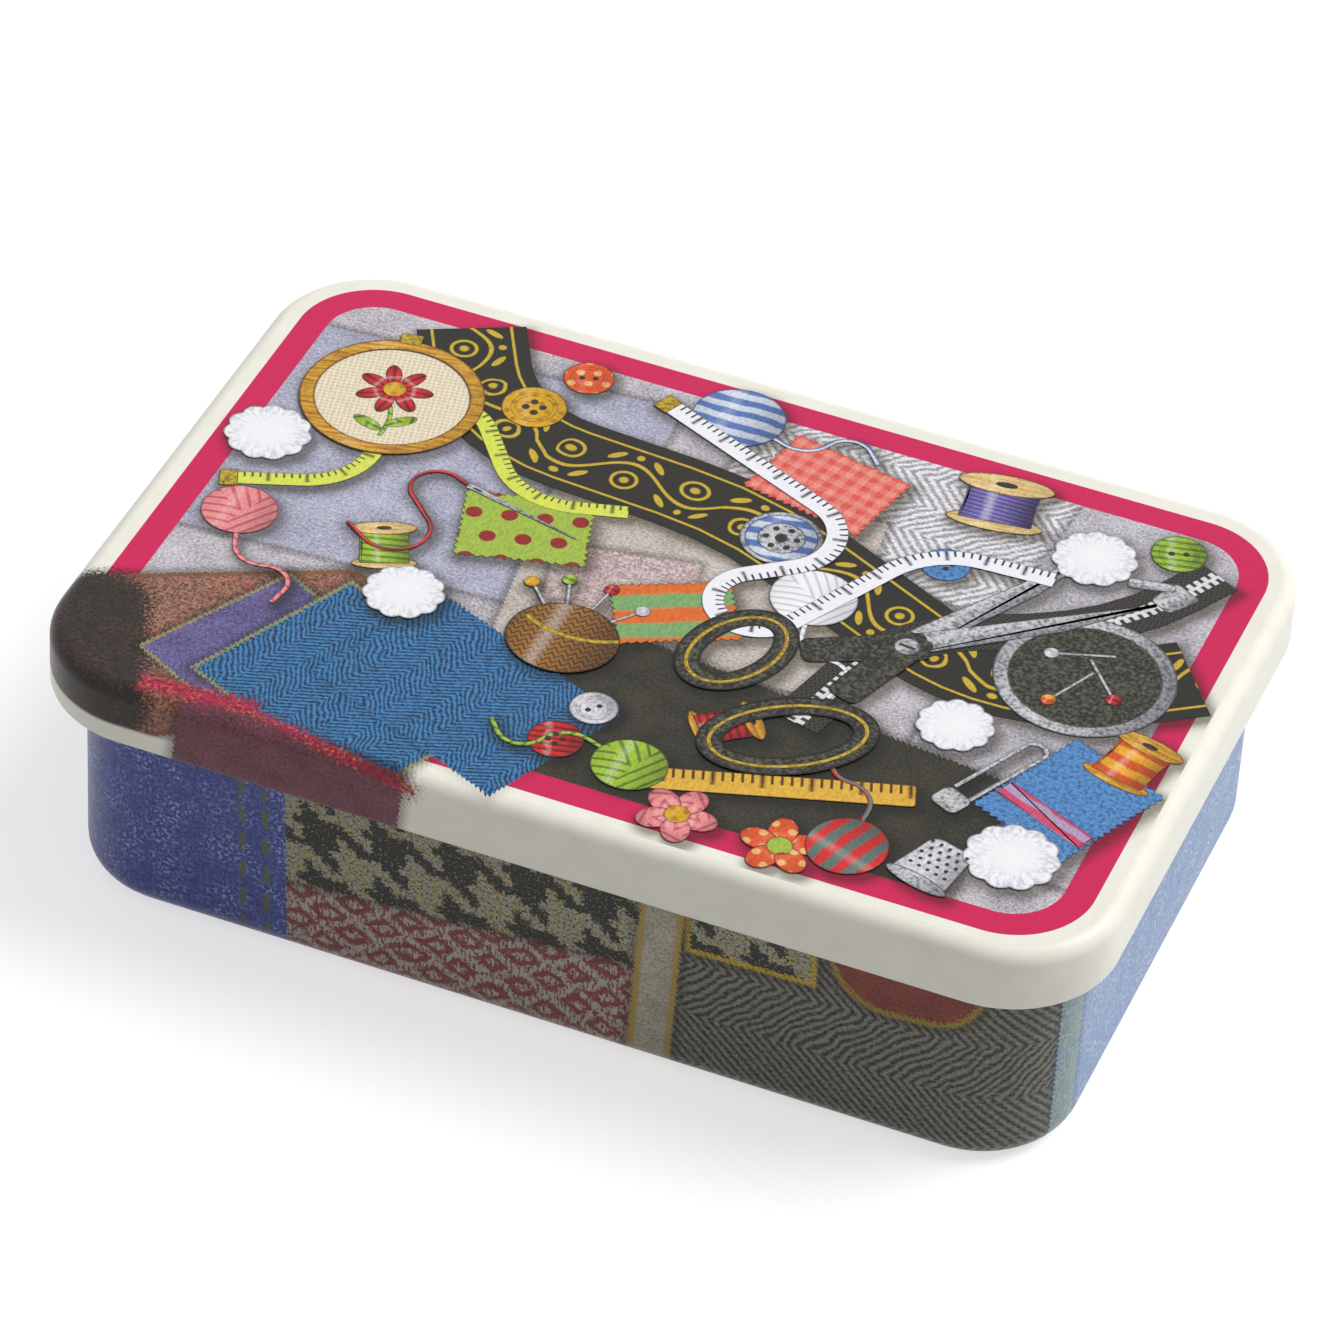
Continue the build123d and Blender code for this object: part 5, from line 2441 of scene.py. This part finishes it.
    def pincushion(self) -> bpy.types.Object:
        """Draw the round pincushion with its pins."""
        cut = self.start((-7.5, -10.5), 0.0, 4)
        pins = ((52.0, Ink.PEARL), (80.0, Ink.RED_THREAD), (108.0, Ink.LIME_THREAD), (132.0, Ink.MUSTARD))
        for heading, head in pins:
            angle = math.radians(heading)
            start = (3.0 * math.cos(angle), 3.0 * math.sin(angle))
            end = (8.6 * math.cos(angle), 8.6 * math.sin(angle))
            cut.strip(Ink.STEEL, 0.34, (Run(5.2),), start, heading, rim=0.08)
            cut.oval(head, (0.75, 0.75), end, rim=0.15, sides=20)
        cut.oval(Ink.BROWN_KNIT, (5.4, 5.0), rim=0.35)
        cut.strip(Ink.GOLD_LINE, 0.5, (Bend(9.0, 62.0),), (-4.3, 1.6), -31.0, rim=0.1)
        return self.keep(cut, "pincushion")

    def pin_dish(self) -> bpy.types.Object:
        """Draw the steel pin dish, lined with black velvet, with pins lying in it."""
        cut = self.start((38.5, 5.0), 0.0, 3)
        cut.oval(Ink.BLACK_LACQUER, (8.2, 8.2), rim=0.2, sides=56)
        cut.ring(Ink.STEEL, (8.6, 8.6), 1.5, sides=56)
        pins = (
            (-4.0, 2.0, 20.0, Ink.PEARL), (-2.0, -4.5, 65.0, Ink.ORANGE_THREAD),
            (3.5, -2.0, 130.0, Ink.RED_THREAD)
        )
        for x, y, heading, head in pins:
            cut.strip(Ink.STEEL, 0.34, (Run(6.0),), (x, y), heading, rim=0.08)
            cut.oval(head, (0.75, 0.75), (x, y), rim=0.15, sides=20)
        return self.keep(cut, "pin_dish")

    def flower(self, name: str, at: Place, petal: Ink, heart: Ink, turn: float = 0.0) -> bpy.types.Object:
        """Draw a felt flower.

        Args:
            name: The piece's name.
            at: Its middle on the lid.
            petal: The ink of its petals.
            heart: The ink of its middle.
            turn: Its turn in degrees.

        Returns:
            The piece.
        """
        cut = self.start(at, turn, 3)
        for angle in (0, 72, 144, 216, 288):
            spot = (2.1 * math.cos(math.radians(angle)), 2.1 * math.sin(math.radians(angle)))
            cut.oval(petal, (1.8, 1.4), spot, angle, sides=28)
        cut.oval(heart, (1.2, 1.2), rim=0.2, sides=28)
        return self.keep(cut, name)

    def rule(self) -> bpy.types.Object:
        """Draw the wooden rule that lies on the velvet."""
        cut = self.start((17.0, -22.0), 19.0, 2)
        stick = [(-14.0, -1.5), (14.0, -1.5), (14.0, 1.5), (-14.0, 1.5)]
        cut.panel(Ink.RULE, stick, rounding=0.4)
        cut.oval(Ink.SHADOW, (0.5, 0.5), (-12.6, 0.0), rim=0.1, sides=16)
        return self.keep(cut, "wooden_rule")

    def needle(self) -> bpy.types.Object:
        """Draw the needle with its red thread."""
        cut = self.start((-24.0, 6.5), -14.0, 5)
        thread = (Run(2.0), Bend(2.6, 160.0), Run(4.0), Bend(3.4, -170.0), Run(3.0))
        cut.strip(Ink.RED_THREAD, 0.42, thread, (0.0, 0.0), 170.0, rim=0.1)
        cut.panel(
            Ink.STEEL, [(-0.4, -0.35), (12.5, -0.05), (12.5, 0.05), (-0.4, 0.35)], rounding=0.0, rim=0.04
        )
        cut.oval(Ink.SHADOW, (0.6, 0.12), (0.7, 0.0), rim=0.03, sides=12)
        return self.keep(cut, "needle_and_thread")

    def thimble(self) -> bpy.types.Object:
        """Draw the thimble."""
        cut = self.start((35.0, -25.5), -16.0, 4)
        body = [(-3.0, -3.0), (3.0, -3.0), (2.2, 3.2), (-2.2, 3.2)]
        cut.panel(Ink.PEARL, body, rounding=1.0)
        cut.oval(Ink.STEEL, (3.3, 0.9), (0.0, -2.8))
        pitch = 0.95
        for row in range(5):
            for column in range(-2 + row % 2, 3):
                spot = ((column - 0.5 * (row % 2)) * pitch, -1.0 + row * 0.85)
                cut.oval(Ink.SHADOW, (0.2, 0.17), spot, rim=0.05, sides=10)
        return self.keep(cut, "thimble")

    def bobbin(self) -> bpy.types.Object:
        """Draw the steel bobbin seen from its end, with blue thread."""
        cut = self.start((5.5, 12.0), 10.0, 3)
        cut.oval(Ink.STEEL, (4.0, 4.0))
        cut.ring(Ink.BLUE_WOOL, (3.5, 3.5), 1.3)
        for number in range(6):
            angle = math.pi * number / 3
            cut.oval(
                Ink.SHADOW, (0.32, 0.32), (1.5 * math.cos(angle), 1.5 * math.sin(angle)), rim=0.08, sides=14
            )
        cut.oval(Ink.SHADOW, (0.6, 0.6), rim=0.1, sides=18)
        return self.keep(cut, "bobbin")

    def safety_pin(self) -> bpy.types.Object:
        """Draw the safety pin."""
        cut = self.start((34.5, -16.5), 64.0, 2)
        wire = (Run(10.0), Bend(1.1, 180.0), Run(9.0))
        cut.strip(Ink.STEEL, 0.5, wire, (0.0, 0.0), 0.0, rim=0.1)
        cut.panel(Ink.STEEL, [(-2.0, -0.5), (0.8, -0.5), (0.8, 2.7), (-2.0, 2.7)], rounding=0.8)
        return self.keep(cut, "safety_pin")

    def build(self) -> list[bpy.types.Object]:
        """Draw every motif, the lowest layers first.

        Returns:
            The pieces.
        """
        tail = (Run(2.0), Bend(3.0, 90.0), Bend(2.4, -120.0), Run(2.0))
        pieces = [
            self.black_ribbon(),
            self.scrap("coral_cloth", (6.5, 21.5), -12.0, (6.6, 5.0), Ink.CORAL_CLOTH),
            self.scrap("blue_cloth", (43.0, -12.0), -24.0, (5.6, 7.0), Ink.BLUE_CLOTH, Ink.PINK_STRIPE),
            self.scrap("lime_cloth", (-17.0, 3.0), 16.0, (6.4, 5.0), Ink.LIME_CLOTH),
            self.scrap("green_cloth", (0.5, -2.5), 28.0, (6.0, 4.4), Ink.GREEN_CLOTH),
            self.zip_fastener(),
            *self.tapes(),
            self.hoop(),
            self.needle(),
            self.bobbin(),
            self.pin_dish(),
            self.shears(),
            self.pincushion(),
            self.rule(),
            self.safety_pin(),
            self.thimble(),
            self.reel("purple_reel", (22.5, 26.0), 8.0, Ink.PURPLE_THREAD, (8.4, 8.6)),
            self.reel("lime_reel", (-28.0, -5.0), 24.0, Ink.LIME_THREAD, (5.6, 7.6)),
            self.reel("red_reel", (11.0, -15.5), -50.0, Ink.RED_THREAD, (5.0, 7.4), Ink.WOOD),
            self.reel("orange_reel", (46.6, -4.5), -14.0, Ink.ORANGE_THREAD, (6.4, 8.4), Ink.WOOD),
            self.wool_ball("blue_wool_ball", (-5.0, 27.5), 4.6, Ink.BLUE_WOOL, tail, -20.0),
            self.wool_ball("white_wool_ball", (11.5, 5.0), 4.2, Ink.WHITE_WOOL, tail, -80.0),
            self.wool_ball("red_wool_ball", (27.0, -26.5), 3.9, Ink.RED_WOOL, tail, 20.0, 70.0),
            self.wool_ball("pink_wool_ball", (-42.5, -6.0), 3.7, Ink.PINK_WOOL, tail, -70.0),
            self.wool_ball("lime_wool_ball", (5.0, -24.5), 3.6, Ink.LIME_WOOL, tail, 160.0),
            self.puffs(
                "cotton_puffs",
                (
                    (-45.0, 6.0, 3.9), (-23.5, -10.5, 3.6), (33.5, 22.0, 3.8),
                    (30.0, -6.5, 3.4), (41.0, -21.5, 4.1)
                ),
            ),
            self.button("mustard_button", (-23.5, 20.5), 3.2, Ink.MUSTARD),
            self.button("orange_button", (-20.5, 27.0), 2.5, Ink.ORANGE, 2),
            self.button("lime_button", (40.5, 26.0), 2.7, Ink.LIME_THREAD, 2),
            self.button("red_button", (-2.5, -24.0), 2.6, Ink.RED_THREAD),
            self.button("pearl_button", (-1.0, -18.5), 2.3, Ink.PEARL, 2, 50.0),
            self.button("blue_button", (21.0, 15.0), 2.4, Ink.BLUE_CLOTH),
            self.flower("pink_flower", (11.5, -29.0), Ink.PINK_WOOL, Ink.MUSTARD),
            self.flower("orange_flower", (21.5, -29.1), Ink.ORANGE, Ink.LIME_CLOTH, 30.0),
        ]
        return pieces

    def cast_shadows(self, sheet: bpy.types.Object, motifs: Sequence[bpy.types.Object]) -> None:
        """Note on the flat print how dark the motifs' printed shadows lie.

        Args:
            sheet: The flat print, a fine grid.
            motifs: The motifs over it.
        """
        reach = 1.5
        shift = Vector((0.55, -0.5, 0.0))
        mesh = bmesh.new()
        for motif in motifs:
            mesh.from_mesh(motif.data)
        tree = BVHTree.FromBMesh(mesh)
        mesh.free()
        shade = sheet.data.attributes.new("shade", "FLOAT", "POINT")
        for vert, note in zip(sheet.data.vertices, shade.data):
            found = tree.find_nearest(vert.co - shift * MM, reach * MM)
            distance = found[3] / MM if found[0] else reach
            note.value = 0.85 * (1 - distance / reach) ** 1.6


# ---------------------------------------------------------------------------------------------------------
# Studio
# ---------------------------------------------------------------------------------------------------------


@dataclass(frozen=True)
class Studio:
    """Camera, light and floor. Distances are in millimetres and angles in degrees."""

    azimuth: float = 20.01
    elevation: float = 39.84
    roll: float = 3.41
    shift_right: float = -0.26
    shift_up: float = -15.29
    distance: float = 681.1
    lens: float = 190.82
    ambient: float = 0.4
    key: float = 2.5
    key_direction: tuple[float, float, float] = (0.4, 0.28, 0.62)
    key_spread: float = 40.0
    floor_size: float = 3.0
    floor_colour: Colour = (0.55, 0.55, 0.55, 1.0)
    floor_glow: float = 0.62

    def place_camera(self) -> bpy.types.Object:
        """Place the camera where the tin was photographed from."""
        azimuth = math.radians(self.azimuth)
        elevation = math.radians(self.elevation)
        back = Vector(
            (
                math.sin(azimuth) * math.cos(elevation),
                -math.cos(azimuth) * math.cos(elevation),
                math.sin(elevation),
            )
        )
        level = Vector((math.cos(azimuth), math.sin(azimuth), 0.0))
        upright = back.cross(level)
        lean = math.radians(self.roll)
        right = level * math.cos(lean) + upright * math.sin(lean)
        up = upright * math.cos(lean) - level * math.sin(lean)
        place = back * self.distance - right * self.shift_right - up * self.shift_up
        camera = bpy.data.objects.new("camera", bpy.data.cameras.new("camera"))
        camera.data.lens = self.lens
        camera.data.sensor_width = 36.0
        camera.data.clip_start = 0.01
        camera.data.clip_end = 20.0
        turn = Matrix((right, up, back)).transposed().to_4x4()
        camera.matrix_world = Matrix.Translation(place * MM) @ turn
        bpy.context.scene.collection.objects.link(camera)
        bpy.context.scene.camera = camera
        return camera

    def light_world(self) -> None:
        """Light the world evenly, and show it white to the camera and in reflections."""
        world = bpy.data.worlds.new("studio")
        bpy.context.scene.world = world
        world.use_nodes = True
        world.node_tree.nodes.clear()
        graph = Graph(world.node_tree)
        seen = self.seen_directly(graph)
        ambient = graph.node("ShaderNodeBackground")
        graph.feed(ambient.inputs["Color"], (1.0, 1.0, 1.0, 1.0))
        graph.feed(ambient.inputs["Strength"], self.ambient)
        white = graph.node("ShaderNodeBackground")
        graph.feed(white.inputs["Color"], (1.0, 1.0, 1.0, 1.0))
        graph.feed(white.inputs["Strength"], 1.0)
        chosen = graph.node("ShaderNodeMixShader")
        for socket, value in zip(chosen.inputs, (seen, ambient.outputs[0], white.outputs[0])):
            graph.feed(socket, value)
        output = graph.node("ShaderNodeOutputWorld")
        graph.feed(output.inputs["Surface"], chosen.outputs[0])

    def seen_directly(self, graph: Graph) -> Socket:
        """Return 1 for what the camera sees, straight or through a reflection or glass, and 0 otherwise."""
        path = graph.node("ShaderNodeLightPath").outputs
        either = graph.math("MAXIMUM", path["Is Camera Ray"], path["Is Glossy Ray"])
        return graph.math("MAXIMUM", either, path["Is Transmission Ray"])

    def hang_key(self) -> bpy.types.Object:
        """Hang the soft key light above, to the right and a little behind."""
        lamp = bpy.data.lights.new("key", "SUN")
        lamp.energy = self.key
        lamp.angle = math.radians(self.key_spread)
        key = bpy.data.objects.new("key", lamp)
        key.matrix_world = Vector(self.key_direction).to_track_quat("Z", "Y").to_matrix().to_4x4()
        bpy.context.scene.collection.objects.link(key)
        return key

    def lay_floor(self) -> bpy.types.Object:
        """Lay the pale floor, which looks white but keeps the tin's shadow."""
        mesh = bmesh.new()
        bmesh.ops.create_grid(mesh, x_segments=1, y_segments=1, size=self.floor_size / 2)
        data = bpy.data.meshes.new("floor")
        mesh.to_mesh(data)
        mesh.free()
        material, graph = new_material("floor_paper")
        shader = graph.node("ShaderNodeBsdfPrincipled")
        tooth = graph.noise(graph.object_place(), 0.8, 2.0)
        pale = graph.mix(tooth, self.floor_colour, (0.58, 0.58, 0.58, 1.0))
        graph.feed(shader.inputs["Base Color"], pale)
        graph.feed(shader.inputs["Roughness"], 0.9)
        graph.feed(shader.inputs["Specular IOR Level"], 0.0)
        graph.feed(shader.inputs["Emission Color"], (1.0, 1.0, 1.0, 1.0))
        glow = graph.math("MULTIPLY", self.seen_directly(graph), self.floor_glow)
        graph.feed(shader.inputs["Emission Strength"], glow)
        output = graph.node("ShaderNodeOutputMaterial")
        graph.feed(output.inputs["Surface"], shader.outputs[0])
        data.materials.append(material)
        floor = bpy.data.objects.new("floor", data)
        bpy.context.scene.collection.objects.link(floor)
        return floor

    def set_view(self) -> None:
        """Use the plain view transform, so that colours render as they are written."""
        bpy.context.scene.view_settings.view_transform = "Standard"


def main() -> None:
    """Build the tin and the studio in order."""
    logging.basicConfig(level=logging.INFO, format="%(name)s: %(message)s")
    sizes = TinSizes.from_frame()
    bare = BareTinplate("bare_tinplate", ink(214, 214, 210)).dress()
    inside = BareTinplate("lacquered_inside", ink(216, 208, 184)).dress()

    base = Base(sizes)
    base.build_shell(bare, inside)
    base.build_print(WallPrint().dress(base.print_map))

    lid = Lid(sizes)
    lid_print = LidPrint(sizes.lid_length / 2, sizes.lid_width / 2, sizes.lid_corner)
    lid.build_shell(bare, inside)
    lid.build_side_print(lid_print)
    top = lid.build_top_print(lid_print.flat())
    picture = Picture(sizes.height + 2 * sizes.print_depth, lid_print.varnish)
    picture.cast_shadows(top, picture.build())

    Hinge(sizes).build()

    studio = Studio()
    studio.place_camera()
    studio.light_world()
    studio.hang_key()
    studio.lay_floor()
    studio.set_view()


if __name__ == "__main__":
    main()
